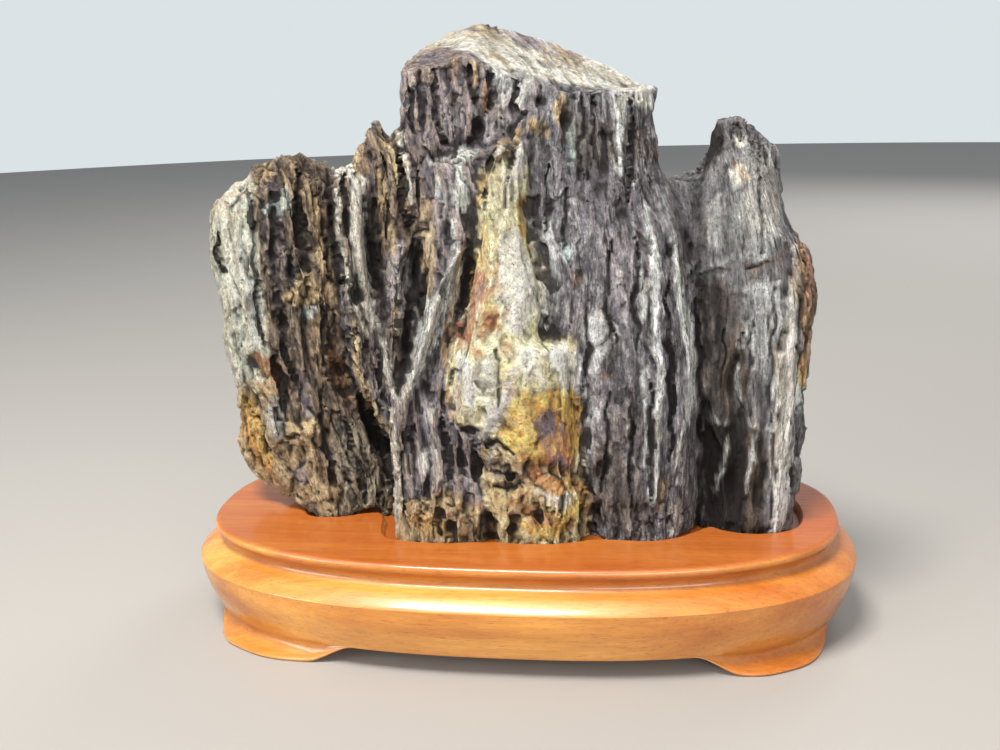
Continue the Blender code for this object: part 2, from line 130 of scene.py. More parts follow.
# Rows of a table: words and numbers, a colon, then points parted by commas, over one line or more
def readTable(text):
    rows = []
    for line in text.strip().splitlines():
        if line.startswith("#"):
            continue
        head, colon, points = line.rpartition(":")
        if colon:
            values = [word if word[0].isalpha() else float(word) for word in head.split()]
            rows.append((*values, []))
        spots = [point.split() for point in points.split(",") if point]
        rows[-1][-1].extend(tuple(map(float, spot)) for spot in spots)
    return rows


# Stone: fineness and depth of each kind of break in millimetres, and the angle of a crisp edge
stoneMake = {
    "firstVoxel": 1.5, "fineVoxel": 1.05, "triangles": 196000, "massSides": 28,
    "massSquareness": 2.8, "layerRelief": 1.3, "rearRelief": 7.0, "rearSlot": 22.0, "chip": 1.35,
    "smallChip": 0.75, "blade": 1.9, "thinBlade": 0.55, "fibre": 0.35, "grain": 0.3,
    "crispAngle": 0.55, "slotSpread": 1.2, "slotTaper": 0.6,
}

# Upright layers of the rock run back to the left by this much for each millimetre of depth
layerSlant = 0.45

# Stone masses: levels from the bottom up, each (z, left, right, front, back)
masses = dict(readTable("""
leftColumn: 60 -103 -94 -8 4, 66 -109 -88 -12 8, 75 -118 -86 -14 16, 85 -123 -86 -14 24,
  97 -121 -86 -15 30, 126 -121.5 -88 -15 34, 150 -122.8 -90 -14 36, 165 -126 -92 -13 36,
  180 -127.5 -94 -12 34, 190 -124 -96 -10 32, 197 -119 -98 -6 28, 203 -111 -101 0 20
leftBody: 47 -87 -76 -20 8, 57 -90 -62 -20 18, 62 -97 -54 -21 24, 75 -106 -54 -22 28,
  95 -109 -57 -22 34, 115 -109 -67 -23 36, 160 -108 -72 -22 38, 180 -107 -74 -20 38,
  197 -108 -75 -16 34, 207 -106 -77 -10 28, 213 -97 -85 -2 18
leftSliver: 120 -79 -70 -16 20, 170 -79 -70.5 -14 24, 203 -79 -71 -8 24, 210 -78 -75 0 14
paleBlade: 47 -60 -49 -12 10, 80 -58 -44 -14 26, 95 -63 -46 -16 30, 135 -69 -52 -18 34,
  175 -73 -56 -17 34, 195 -72 -57.5 -14 30, 204 -69 -59 -8 22, 209.5 -66 -62 -2 12
spike: 120 -58 -42 -2 30, 190 -62 -42 2 34, 208 -62 -43 2 32, 217 -59.5 -46.5 4 28,
  222 -57 -48.5 6 24, 226 -55.5 -50 8 20
thinBlades: 60 -50 -34 -30 10, 110 -52 -34 -22 24, 150 -52 -34 -16 30, 200 -49 -36 -8 32,
  214 -48 -38 -2 28, 222 -44.5 -39 4 20
tower: 38 -46 70 -26 40, 90 -48 72 -28 46, 150 -45 72 -26 48, 200 -42 67 -20 46,
  225 -40.5 64.5 -18 44, 240 -41 61 -16 43, 252 -40 60 -14 43, 270 -37 59 -12 42
greyBlock: 70 -48 -12 -40 0, 110 -45 -10 -39 0, 140 -36 -8 -38 0, 170 -31 -6 -36 0,
  196 -30 -6 -33 0, 207 -30 -6 -31 0, 213 -20 -8 -29 -6
slantingSlab: 86 -50 -42 -44 -10, 107 -49 -38 -46 -10, 131 -38 -31 -46 -12, 158 -28 -23 -44 -14,
  173 -19 -14 -40 -14
leftButtress: 36 -54 -13 -46 -10, 50 -53.5 -13 -46.5 -10, 62 -52 -14 -45 -8, 80 -51 -14 -44 -6,
  100 -52 -20 -43 -4, 112 -47 -26 -41 -4
yellowFace: 38 -24 30 -43 0, 50 -26 33.5 -46 0, 62 -24 35 -47 0, 76 -21 33.6 -47 0,
  95 -26 30.5 -47 0, 116 -28.5 30.5 -46.5 0, 132 -25 30.5 -46 0, 137 -22 17 -45 0,
  159 -15.5 17 -43 0, 174 -13.5 13 -40 0, 188 -12.5 10 -37 0, 203 -10 10 -32 0, 216 -6 12 -26 0
rightCentre: 38 28 78 -37 30, 60 28 80 -38 34, 110 26 80.5 -39 36, 140 13 80 -38 36,
  165 12 79.5 -36 36, 183 9 75 -32 36, 200 7 68 -27 36, 220 8 64.5 -22 34, 236 12 62 -19 30
saddle: 40 66 100 -14 34, 110 66 100 -16 36, 165 64 92 -16 34, 190 63 84 -12 30, 200.5 64 80 -6 24
wing: 38 80 119 -25 28, 54 80 120.4 -26 30, 84 80 123 -27 34, 113 79 125 -27 36, 139 77 127 -26 36,
  160 76 126.3 -24 36, 176 75 120.5 -22 34, 186 75 114 -20 32, 199 77 111.2 -16 28,
  207 78.5 110.5 -14 24, 213 80.5 107 -12 20, 219.5 82.5 102 -10 16, 223.5 84.5 97 -8 12
rustRim: 50 108 121 -20 16, 84 112 123.3 -20 22, 113 114 125.6 -20 26, 139 115 127.6 -19 28,
  160 115 127 -17 28, 170 116 125 -14 24, 178 116.5 120 -8 16
"""))

# Sloping cuts that make the tower's top: point on the sheet, depth, slope right, slope back
topCuts = [
    ((-8.0, 259.5), 25.0, -0.36, 0.30),
    ((-8.0, 259.5), 25.0, 0.30, 0.30),
    ((-34.0, 254.0), 20.0, 0.75, 0.35),
]

# Slots: depth, then the path (x, z, half-width) on the sheet
slots = readTable("""
15: -74 207 1.6, -73.5 193 2.6, -73.5 178 2.6, -72 163 2.4, -73 142 1.4
24: -69.5 119 1.4, -66 104 2.6, -62 94 3.6, -57.5 83 4.2, -53 70 3.4
13: -54.5 197 1.4, -55 176 2, -52.5 158 2, -53.5 138 1.4
10: -38.5 166 1.6, -41.5 150 2.2, -44 134 2.2, -46.5 120 1.8, -48.5 108 1
8: -63.5 168 1.2, -63 152 1.8, -61.5 138 1.2
10: -93 174 1.4, -93 164 2.2, -94 154 1.2
8: -100 205 1.2, -99 185 2, -101 160 1.6, -100 138 1.2
9: -36 178 2.4, -38 163 4, -37 149 4, -36 139 2
11: -12.4 183 1.2, -13.8 171 1.8, -16.7 156 2.2, -19.5 147 2.2, -23 133 1.4
7: -24 188 1.2, -24 178 1.8, -24 168 1.2
7: -38.5 94 1.2, -39 82 1.8
7: -16 87 1.6, -15.5 74 2.4, -13.5 62 1.8
8: -45 99 1, -46 88 2, -45 77 1.2
12: -11 57 1.6, -11 48 2.8, -11 38 3.8
6: 0 56 1.2, 0 38 1.8
8: 22 51 1.2, 22 38 2
9: 35 60 1.6, 36 38 2.6
5: -21.5 248 0.8, -21.5 232 1.1
6: -15.5 253 1, -14.5 229 1.2
6: -7 231 1, -8.5 221 1.4, -12 216 1.2, -22 211 1.1, -31 209 1
5: 43 230 0.9, 42.3 218 1.2, 40.5 207 1.4, 38 194 1.2, 36 184 0.9
4: 28.3 236 0.9, 26.5 224 1.3, 25 213 0.9
7: 48 198 1.2, 48 180 1.5
6: 58 229 1.2, 58 213 1.4
8: 73.5 181 1.2, 76 172 1.9, 75 163 1.2
7: 67.5 179 1.6, 68.5 164 1.4
5: 31 168 1.4, 31 154 1.4
5: 38 80 1.6, 38 68 1.8
5: 80.5 159 1, 82.5 146 1.8, 83 132 1.6, 81.5 120 1
5: 87 157 1, 88.5 144 1.6, 88 128 1.4, 87 112 1
10: 82.5 112 1.6, 84 92 3, 86 70 3.4, 88 48 4
8: 95 130 2.4, 94 112 3.2, 97 92 3.6, 96 70 3.6, 95 50 3.6
5: 108 96 1.4, 107 74 1.8, 106 52 1.6
5: 113.5 178 1, 115 160 1.6, 114.5 132 1.4, 115.5 108 1
""")

# Ribs and lumps: height, then the path
ribs = readTable("""
4.5: -58.5 200 2.4, -61 182 2.6, -60 160 2.2, -56 138 2.2, -51.5 114 1.6
3.5: -70 197 2, -69.5 175 2, -67 152 1.8, -61.5 136 1.6
3: -66.5 132 1.8, -64 113 1.8, -56 94 1.8
4: -86 160 3.6, -90 152 3.6
3.5: -97 86 4, -88 92 4
3: -113 188 5, -114 150 4, -113 128 4
3: -112 104 5, -106 84 4
3: -82 204 2.4, -80 170 2.6, -79 130 2.6, -74 100 2.4
4: -44 172 3, -45 150 3.6, -43 132 2.4
4: -31.5 190 2.4, -32 172 3, -33 152 2.4
3: -18 206 2.6, -17.5 186 2.6, -16.5 176 1.6
2.6: 0.5 118 2.6, -2 106 3.4, -8 97 3.4, -13 86 2.6
2.6: -19 122 4.5, -17 102 4
2.6: -33 100 2.6, -33 84 3, -31 66 3
3.4: -44 56 6, -26 54 6
3: -6 80 4, -4 62 4.4, -5 45 2.2
3: 8 64 4.6, 15 50 4, 16 42 2.6
3: 25 70 4, 28 54 4
2: 61 178 2.2, 62 150 1.5, 64.5 122 1.9, 63.5 92 1.5, 62 60 1.2
2.2: 72 158 1.8, 76.5 132 2.4, 76 105 2, 72.5 78 1.6
2.6: 51 150 4, 52 120 3.4, 50 90 3.6
2.2: 13 224 4.6, 22 229 3.2, 23 214 2.6
2.6: 8 217 2, -3 210 2.6, -9 196 2.2, -10 184 1.4
2.2: 96 200 4.6, 95 212 4
3.5: 101 55 6, 101 50 6
2.5: 102 120 2, 104 90 2.2, 101 66 2
""")

# Finer cracks and edges, only for the looks
cracks = readTable("""
3: -124 180 0.8, -124 163 1
3: -109 200 0.8, -108 180 1.2, -109 152 1, -107 130 1
3.5: -86 208 1, -87 186 1.4, -85 170 1
3: -80 150 0.9, -81 130 1.2, -78 112 1
3: -97 148 0.9, -98 128 1.3, -95 112 1
3.5: -104 126 1.2, -100 108 1.4, -101 92 1
3: -84 110 1, -82 88 1.4, -80 66 1.4
3.5: -72 96 1.2, -68 76 1.8, -66 58 1.6
3.5: -66.5 204 1.2, -66.5 176 1.4
3: -70.6 160 0.9, -69.5 135 1
3.5: -49.5 212 0.9, -49 196 1.2, -50 176 1
3.5: -43 214 0.9, -42.6 196 1.2, -40 180 1
3: -36.5 206 0.9, -35.5 192 1.2, -36 182 0.9
2.5: -33 247 0.8, -32 230 1.2, -33 216 0.9
2.5: -27 246 0.8, -26.5 224 1.2, -25 214 0.8
2.5: -37 238 0.8, -37 220 1.1
2.5: -12 246 0.9, -11 232 1.1
2.5: -4.2 244 0.9, -4 228 1.2
2: 6 241 0.8, 5.5 228 1
2: 15.8 233 1.4, 16 230 1.4
2.5: 33.5 234 0.8, 33 218 1.2, 31 200 1
2.5: 37.5 232 0.8, 37 214 1
2.5: 53 232 0.8, 53 214 1, 52.5 190 0.9
2.5: 19 206 0.9, 18.5 190 1.2, 17 176 0.9
2: 26 196 0.8, 25 178 1.2, 26.5 164 0.9
2: -2 214 0.7, -6 206 0.9, -8 192 0.8
1.4: 5.5 210 0.6, 2 200 0.8, 0.5 188 0.6
2: -5.5 128 0.8, -3.5 114 1, -6 104 0.8
2.5: -24 97 1, -19 93 1.2, -12 93 1
3: -14 84 1, -6 88.5 1, 2 82 1
3: -10 78 1.2, -2 76 1.2, 1 70 1
3: -9 67 1.2, 2 67 1.2, 8 72 1
3: 10 60 1.2, 12 50 1.2
3: 21 64 1.2, 22 54 1.2
2.5: 32 76 1, 36 64 1.2
3: -29 98 0.9, -28 84 1.2, -26 68 1
3: -22 92 0.9, -21 72 1.2
3: -36 74 1, -37 60 1.2
3: -48 84 0.9, -47 66 1.1, -48 54 1
2.5: -33 56 1.2, -32 44 1.4
2: 34 150 0.8, 34 130 1.1, 32 112 0.9
2: 44 176 0.8, 43 150 1.1, 45 132 0.9
2: 54 176 0.8, 54.5 150 1.1, 54 128 0.9
2.5: 67 158 0.9, 68 136 1.2, 70 112 1.2, 68 80 1
2.5: 60.8 116 0.8, 60.6 90 1, 60.2 62 1
2.5: 42 110 1, 42 90 1.2, 40 66 1.2
2.5: 52 104 0.9, 53 80 1.1, 52 56 1.2
3: 79.5 150 1.2, 80.5 120 1.4, 81.5 80 1.6, 80.5 50 1.8
0.9: 80 160 0.5, 86 162.3 0.7, 91 163 0.5
1: 99 162.5 0.5, 104 164 0.8, 108 166 0.4
1.2: 104 212 0.7, 104 188 0.9, 104.5 166 0.7
1.6: 101 140 0.8, 100.5 100 1
1.4: 110 158 0.7, 110 126 0.9, 109.5 98 0.8
1.6: 112 94 0.8, 111.5 70 1, 112 48 0.8
2: 90 138 0.9, 90.5 100 1.1, 91 60 1
1.6: 97.5 136 0.8, 97 104 0.9
""")


# Carry a point of the sheet to its own depth, along the line from the eye
def carry(x, z, depth):
    stretch = (depth - eye.y) / (sheetDepth - eye.y)
    return Vector((eye.x + (x - eye.x) * stretch, depth, eye.z + (z - eye.z) * stretch))


# Where the line from the eye to each place crosses the sheet
def toSheet(places):
    stretch = (sheetDepth - eye.y) / (places[:, 1] - eye.y)
    return eye.x + (places[:, 0] - eye.x) * stretch, eye.z + (places[:, 2] - eye.z) * stretch


# A mass of the rock: a squared oval at each level
def loftMass(name, levels):
    mass = extrudeBlank(name, stoneMake["massSides"], len(levels))
    for vert in mass.data.vertices:
        z, left, right, front, back = levels[round(vert.co.z)]
        middle = (front + back) / 2
        low = carry(left, z, middle)
        high = carry(right, z, middle)
        c, s = vert.co.x, vert.co.y
        power = 2 / stoneMake["massSquareness"]
        across = copysign(abs(c) ** power, c) * (high.x - low.x) / 2
        deep = copysign(abs(s) ** power, s) * (back - front) / 2
        vert.co = Vector(((low.x + high.x) / 2 + across, middle + deep, low.z)) * mm
    tidyNormals(mass)
    return mass


# Length of a line on the sheet, and how far along it and away from it each point is
def nearLine(x, z, x0, z0, x1, z1):
    length = max((x1 - x0) ** 2 + (z1 - z0) ** 2, 1e-6)
    along = np.clip(((x - x0) * (x1 - x0) + (z - z0) * (z1 - z0)) / length, 0, 1)
    away = np.hypot(x - x0 - (x1 - x0) * along, z - z0 - (z1 - z0) * along)
    return length ** 0.5, along, away


# How much of a stroke each point gets: 1 on its line, 0 at its edge
def strokeShare(x, z, path, spread=1.4, power=1.5, taper=0.0):
    share = np.zeros(len(x))
    if len(path) == 1:
        path = path * 2
    total = max(sum(np.hypot(b[0] - a[0], b[1] - a[1]) for a, b in zip(path, path[1:])), 1e-3)
    run = 0.0
    for (x0, z0, w0), (x1, z1, w1) in zip(path, path[1:]):
        length, along, away = nearLine(x, z, x0, z0, x1, z1)
        where = (run + along * length) / total
        run += length
        width = (w0 + (w1 - w0) * along) * (1 - taper * np.abs(2 * where - 1) ** 2)
        share = np.maximum(share, np.clip(1 - (away / (spread * width)) ** 2, 0, 1) ** power)
    return share


# Press slots in and lift ribs, along the lines from the eye
def carveFront(mesh, cuts, lifts):
    places, normals = readPoints(mesh)
    ray = places - np.array(eye)
    ray /= np.linalg.norm(ray, axis=1)[:, None]
    x, z = toSheet(places)
    facing = np.clip((-(normals * ray).sum(axis=1) - 0.05) / 0.35, 0, 1)
    push = np.zeros(len(places))
    wander = np.array([2.4 * wave(a / 30, h / 11, 3) + 0.8 * wave(a / 9, h / 7, 8)
                       for a, h in zip(x, z)])
    spread, taper = stoneMake["slotSpread"], stoneMake["slotTaper"]
    for depth, path in cuts:
        push = np.maximum(push, depth * strokeShare(x + wander, z, path, spread, 1.2, taper))
    for height, path in lifts:
        push -= height * strokeShare(x + 0.6 * wander, z, path)
    writePoints(mesh, places + ray * (push * facing)[:, None])


# Leading layers of the rock on the sheet: number of each, then its line (z, x) from the top down
layerLines = readTable("""
-127: 205 -118, 180 -127, 140 -123, 100 -121, 70 -117, 45 -112
-106: 212 -104, 180 -106, 140 -106, 115 -107, 80 -102, 45 -92
-90: 213 -89, 160 -90, 120 -88, 80 -80, 45 -72
-73: 210 -74, 180 -73, 150 -72.5, 119 -70, 94 -62, 70 -53.5, 45 -53
-62: 210 -65, 165 -65, 140 -64, 120 -60, 100 -56, 80 -51.5, 45 -52
-52: 215 -56, 190 -57.5, 150 -56, 130 -52, 107 -49, 80 -50, 45 -51
-38: 225 -40, 190 -38, 160 -40, 135 -42, 113 -46.5, 95 -46, 60 -45, 45 -46
-16: 255 -18, 183 -12.5, 164 -15, 147 -19, 133 -23, 118 -28, 100 -31, 60 -30
-4: 255 -4, 190 -8, 160 -10, 135 -18, 115 -24, 95 -20, 80 -15, 45 -14
14: 245 22, 215 12, 190 10, 156 16.5, 135 16, 110 18, 80 17, 45 14
36: 240 37, 200 36, 150 34, 133 30.5, 90 31, 60 35, 45 35
47: 240 46, 200 48, 140 47, 45 47
60: 230 60, 189 58, 162 62, 135 62, 122 65, 96 63.5, 60 61.4, 45 61
73: 205 66, 178 70.5, 152 73, 132 76.5, 115 77, 95 75, 70 71.5, 45 71
84: 224 84, 190 82, 150 80, 100 81, 60 85, 45 86
99: 215 97, 165 98, 120 97, 80 99, 45 99
114: 207 108, 180 112, 150 114.5, 110 114, 70 110, 45 108
127: 200 111, 176 121, 150 127, 100 124, 60 121, 45 119
""")


# Position across the layers, which lean and fan out
def layerPlace(places):
    x, z = toSheet(places)
    x = x + layerSlant * (places[:, 1] - sheetDepth)
    numbers = [number for number, line in layerLines]
    rows = [np.interp(z, *np.array(line[::-1]).T) for number, line in layerLines]
    across = x - rows[0] + numbers[0]
    for left, right, low, high in zip(rows, rows[1:], numbers, numbers[1:]):
        share = (x - left) / (right - left)
        across = np.where(x >= left, low + share * (high - low), across)
    return np.where(x >= rows[-1], x - rows[-1] + numbers[-1], across)


# How the surface breaks, by area on the sheet: (calm, bladed, outline)
surfaces = readTable("""
0.45 0: -128 206, -106 206, -106 118, -112 108, -126 112
0.15 1: -76 215, -38 226, -30 208, -12 184, -22 132, -44 104, -52 60, -74 112
0 0.15: -104 212, -76 212, -70 112, -56 70, -90 100, -104 140
0.45 0.1: -53 116, -26 122, -16 90, -14 62, -52 62
0.15 0: -56 62, -14 62, 34 72, 36 40, -56 40
0.35 0.1: -30 206, -12 212, -12 184, -22 158, -30 176
0.1 0.5: -42 258, -10 258, -10 214, -42 206
0.25 0.4: -12 250, 12 240, 12 206, -12 214
0.75 0: -66 207, -55 206, -55.5 190, -57 160, -53 138, -48 106, -53 106, -59 138, -65 165, -66 190
0.7 0: -21 173, -14 173, -20 155, -26 140, -32 125, -41 106, -50 105, -43 125, -35 142
0.45 0.25: 10 238, 66 238, 68 190, 8 190
0.62 0: -11 204, 11 206, 12 180, 16.5 156, 16 136, 30 133, 30 90, 28 78, 0 80, -12 92, -26 98,
  -28 116, -20 140, -13 168
0.62 0.1: 16 190, 66 190, 72 178, 79 150, 80 60, 34 60, 30 134, 16 136
0.84 0: 64 203, 80 200, 82 210, 98 212, 112 202, 118 176, 121 150, 119 50, 79 50, 78 165, 66 178
0.5 0: -30 262, -10 248, 2 241, 28 236.5, 62 227, 70 250, 10 268
0.85 0: -60 232, -44 232, -46 214, -60 214
0.85 0: 80 226, 92 226, 90 214, 80 214
""")


def surfaceKind(places, normals):
    x, z = toSheet(places)
    calm = np.zeros(len(x))
    bladed = np.zeros(len(x))
    for still, blades, outline in surfaces:
        share = insidePatch(x, z, outline, 3.0)
        calm = calm * (1 - share) + still * share
        bladed = bladed * (1 - share) + blades * share
    behind = np.clip((places[:, 1] + 6.0) / 16.0, 0, 1)
    top = np.clip((normals[:, 2] - 0.55) / 0.3, 0, 1) * (z > 222.0)
    calm = np.maximum(calm * (1 - 0.75 * behind), 0.72 * top)
    return calm, (bladed * (1 - behind) + 0.35 * behind) * (1 - top)


# Rough layers, with slots and ledges behind
def striate(mesh):
    make = stoneMake
    places, normals = readPoints(mesh)
    across = layerPlace(places)
    calm = surfaceKind(places, normals)[0]
    upward = np.clip(normals[:, 2], 0, 1)
    turned = np.clip((normals[:, 1] + 0.35) / 0.5, 0, 1) * (1.0 - 0.9 * upward)
    moved = []
    for place, normal, rear, layer, still in zip(places, normals, turned, across, calm):
        x, y, z = place
        slanted = x + layerSlant * y
        fine = noise.turbulence(Vector((layer / 6.0, y / 30.0, z / 42.0)), 3, False) - 0.55
        broad = wave(slanted / 17.0 + 7, y / 40.0 + 3, z / 60.0 + 1)
        lump = wave(slanted / 30.0 + 2, y / 50.0, z / 46.0 + 8)
        slot = max(0.0, wave(slanted / 9.0 + 31, y / 34.0 + 5, z / 60.0 + 9) - 0.2)
        upright = 1.0 - 0.5 * abs(normal[2])
        backward = min(max(2.0 * normal[1] - 0.4, 0.0), 1.0)
        move = make["layerRelief"] * (2.0 * fine * upright * (1.0 - 0.8 * still) + 0.5 * broad)
        ledges = make["rearRelief"] * (0.8 * broad + lump - 0.15)
        move += rear * (ledges - make["rearSlot"] * slot * backward)
        moved.append(place + normal * move)
    writePoints(mesh, np.array(moved))


# Level of a flat-faced chip and of the groove round it, both 0 to 1 or so
def shard(spot, salt):
    away, centres = noise.voronoi(spot)
    turn = noise.cell_vector(centres[0] * 19.7 + salt) * 2.0 - Vector((1, 1, 1))
    level = 0.55 * noise.cell(centres[0] * 11.3 + salt) * 2.0 - 0.55
    level += 0.75 * (spot - centres[0]).dot(turn)
    return level, min((away[1] - away[0]) / 0.16, 1.0) - 1.0


# Flat-faced chips, thin blades with sharp edges, fibre and grain
def flake(mesh):
    make = stoneMake
    places, normals = readPoints(mesh)
    across = layerPlace(places)
    calm, bladed = surfaceKind(places, normals)
    saltBig, saltSmall = Vector((3.1, 8.7, 1.9)), Vector((9.3, 2.2, 6.4))
    moved = []
    for place, normal, layer, still, blades in zip(places, normals, across, calm, bladed):
        x, y, z = place
        bend = wave(x / 24.0, y / 30.0, z / 30.0)
        ripple = wave(x / 9.0 + 4, y / 12.0, z / 13.0)
        spot = Vector(((layer + 1.5 * ripple) / 6.0, y / 11.0, (z + 5 * bend) / 19.0))
        big, bigGroove = shard(spot, saltBig)
        spot = Vector(((layer + ripple) / 2.7, y / 5.0, (z + 2 * ripple) / 8.0))
        small, smallGroove = shard(spot, saltSmall)
        fold = layer / 5.4 + 1.1 * bend + 0.30 * ripple + z / 170.0
        saw = fold % 1.0
        blade = (saw if saw < 0.82 else (1.0 - saw) * 4.55) - 0.45
        patchy = 0.55 + wave(x / 14.0, y / 15.0, z / 26.0 + 3)
        fold2 = layer / 2.1 + 1.7 * ripple + z / 60.0
        thin = fold2 % 1.0 - 0.5
        fibre = wave(layer / 1.5, y / 8.0, z / 14.0)
        grain = wave(x / 1.9, y / 1.9, z / 2.6)
        rough = 1.0 - still
        upright = 1.0 - 0.6 * abs(normal[2])
        chips = make["chip"] * (big + 0.5 * bigGroove)
        chips += make["smallChip"] * (small + 0.6 * smallGroove)
        layers = make["blade"] * (0.35 + 1.3 * blades) * blade * patchy
        layers += make["thinBlade"] * thin * patchy
        move = rough * chips + upright * ((0.12 + 0.88 * rough) * layers + make["fibre"] * fibre)
        moved.append(place + normal * (move + make["grain"] * (0.4 + 0.6 * rough) * grain))
    writePoints(mesh, np.array(moved))


# What hangs out past the seat stays clear of the stand's top
def liftOffStand(mesh):
    places = readPoints(mesh)[0]
    outside = (places[:, 0] < -98.0) | (places[:, 0] > 127.0)
    low = standHeight + 0.4
    places[:, 2] = np.where(outside & (places[:, 2] < low), low, places[:, 2])
    writePoints(mesh, places)


# Stone colours, as sRGB; the near-black one is painted shade, for slots, cracks and shaded faces
tones = {
    "cream": (0.88, 0.85, 0.755), "paleGreen": (0.67, 0.69, 0.61), "lilac": (0.51, 0.48, 0.49),
    "plum": (0.33, 0.30, 0.315), "chocolate": (0.275, 0.24, 0.21), "ochre": (0.82, 0.585, 0.30),
    "yellow": (0.90, 0.79, 0.575), "rust": (0.54, 0.33, 0.18), "brick": (0.56, 0.36, 0.28),
    "vein": (0.82, 0.84, 0.79), "tan": (0.66, 0.56, 0.42), "soot": (0.085, 0.07, 0.065),
    "slate": (0.35, 0.345, 0.345), "beige": (0.70, 0.67, 0.62), "teal": (0.58, 0.65, 0.62),
    "brown": (0.44, 0.36, 0.28), "haze": (0.70, 0.71, 0.69), "navy": (0.14, 0.14, 0.17),
    "ash": (0.30, 0.285, 0.30), "moss": (0.42, 0.41, 0.36),
}

# Colour areas on the sheet: main tone, tone of its thinner layers, strength, outline; the
# near-black areas on the wing are painted shade
# The wing spike's inner face: painted shadow
# The wing's dark lower part, among its deep slots: painted shade
patches = readTable("""
chocolate brown 1: -135 225, -70 225, -72 140, -64 100, -50 70, -50 38, -135 38
chocolate ash 0.9: -108 212, -86 215, -84 160, -96 120, -108 130
paleGreen cream 0.95: -130 206, -106 206, -106 165, -105 120, -112 108, -126 112
tan brown 0.8: -126 110, -104 116, -98 96, -88 86, -84 60, -104 56, -126 78
moss chocolate 0.75: -76 104, -66 92, -55 66, -52 48, -74 48, -80 70
plum tan 0.9: -72 210, -56 206, -52 110, -60 118, -70 160
plum lilac 1: -40 262, -14 262, -10 214, -30 207, -42 208
lilac plum 0.9: -30 208, -8 214, -12 186, -24 158, -30 130, -50 106, -36 150
lilac haze 0.85: -4 246, 20 240, 22 224, 2 222, -8 214
ash haze 1: 10 238, 82 240, 82 38, 30 38, 30 134, 16 136, 16 158, 10 190
lilac ash 0.85: -50 116, -24 120, -24 97, -14 84, -14 62, -50 62
tan brown 0.9: -56 62, -40 60, -30 66, -14 58, -12 38, -56 38
yellow cream 1: -3 209, 9 212, 11 204, 10 190, 10.5 182, 12.7 174, 15.6 165, 16.6 156, 16.2 147,
  15.7 135, 30 133, 30 90, 33 76, 35 60, 33 40, -6 40, -14 66, -12.8 94, -19.8 95.3, -25.3 98.5,
  -25.7 107, -28 116, -26.5 124, -25 130.5, -21 135.5, -19 141, -17 152, -14 159, -13 168, -12 186,
  -10 204
ochre yellow 0.9: 6 112, 9.7 108, 21 112, 29.5 111, 30 91, 29 81, 15.8 75.5, 11.4 74, 5.3 77,
  1 81.4, -3.8 88, -5 92, 2.2 105
brown tan 0.75: -14 86, -5 90, 2 82, 8 74, 20 76, 8 64, -12 66
tan ochre 0.9: -10 66, 8 68, 20 76, 33 72, 35 58, 33 40, -10 40
slate ash 1: 64 203, 80 203, 84 224, 112 214, 118 178, 128 150, 126 38, 80 38, 79 150, 66 176
chocolate ash 0.6: 79 157, 90 156, 97 138, 99 98, 80 98
soot soot 1: 80 99, 92 97, 96 94, 104 95, 107.5 80, 108 38, 80 38
soot plum 0.95: 81 224, 89.6 220.5, 88 209, 83.7 205.7, 77 200, 77 206, 79 215
cream beige 1: -16 256, -8 249, 1 242.5, 15 241, 27 237.5, 46 236.5, 50 230, 62 227, 64 250,
  20 262, -10 268, -22 262
""")
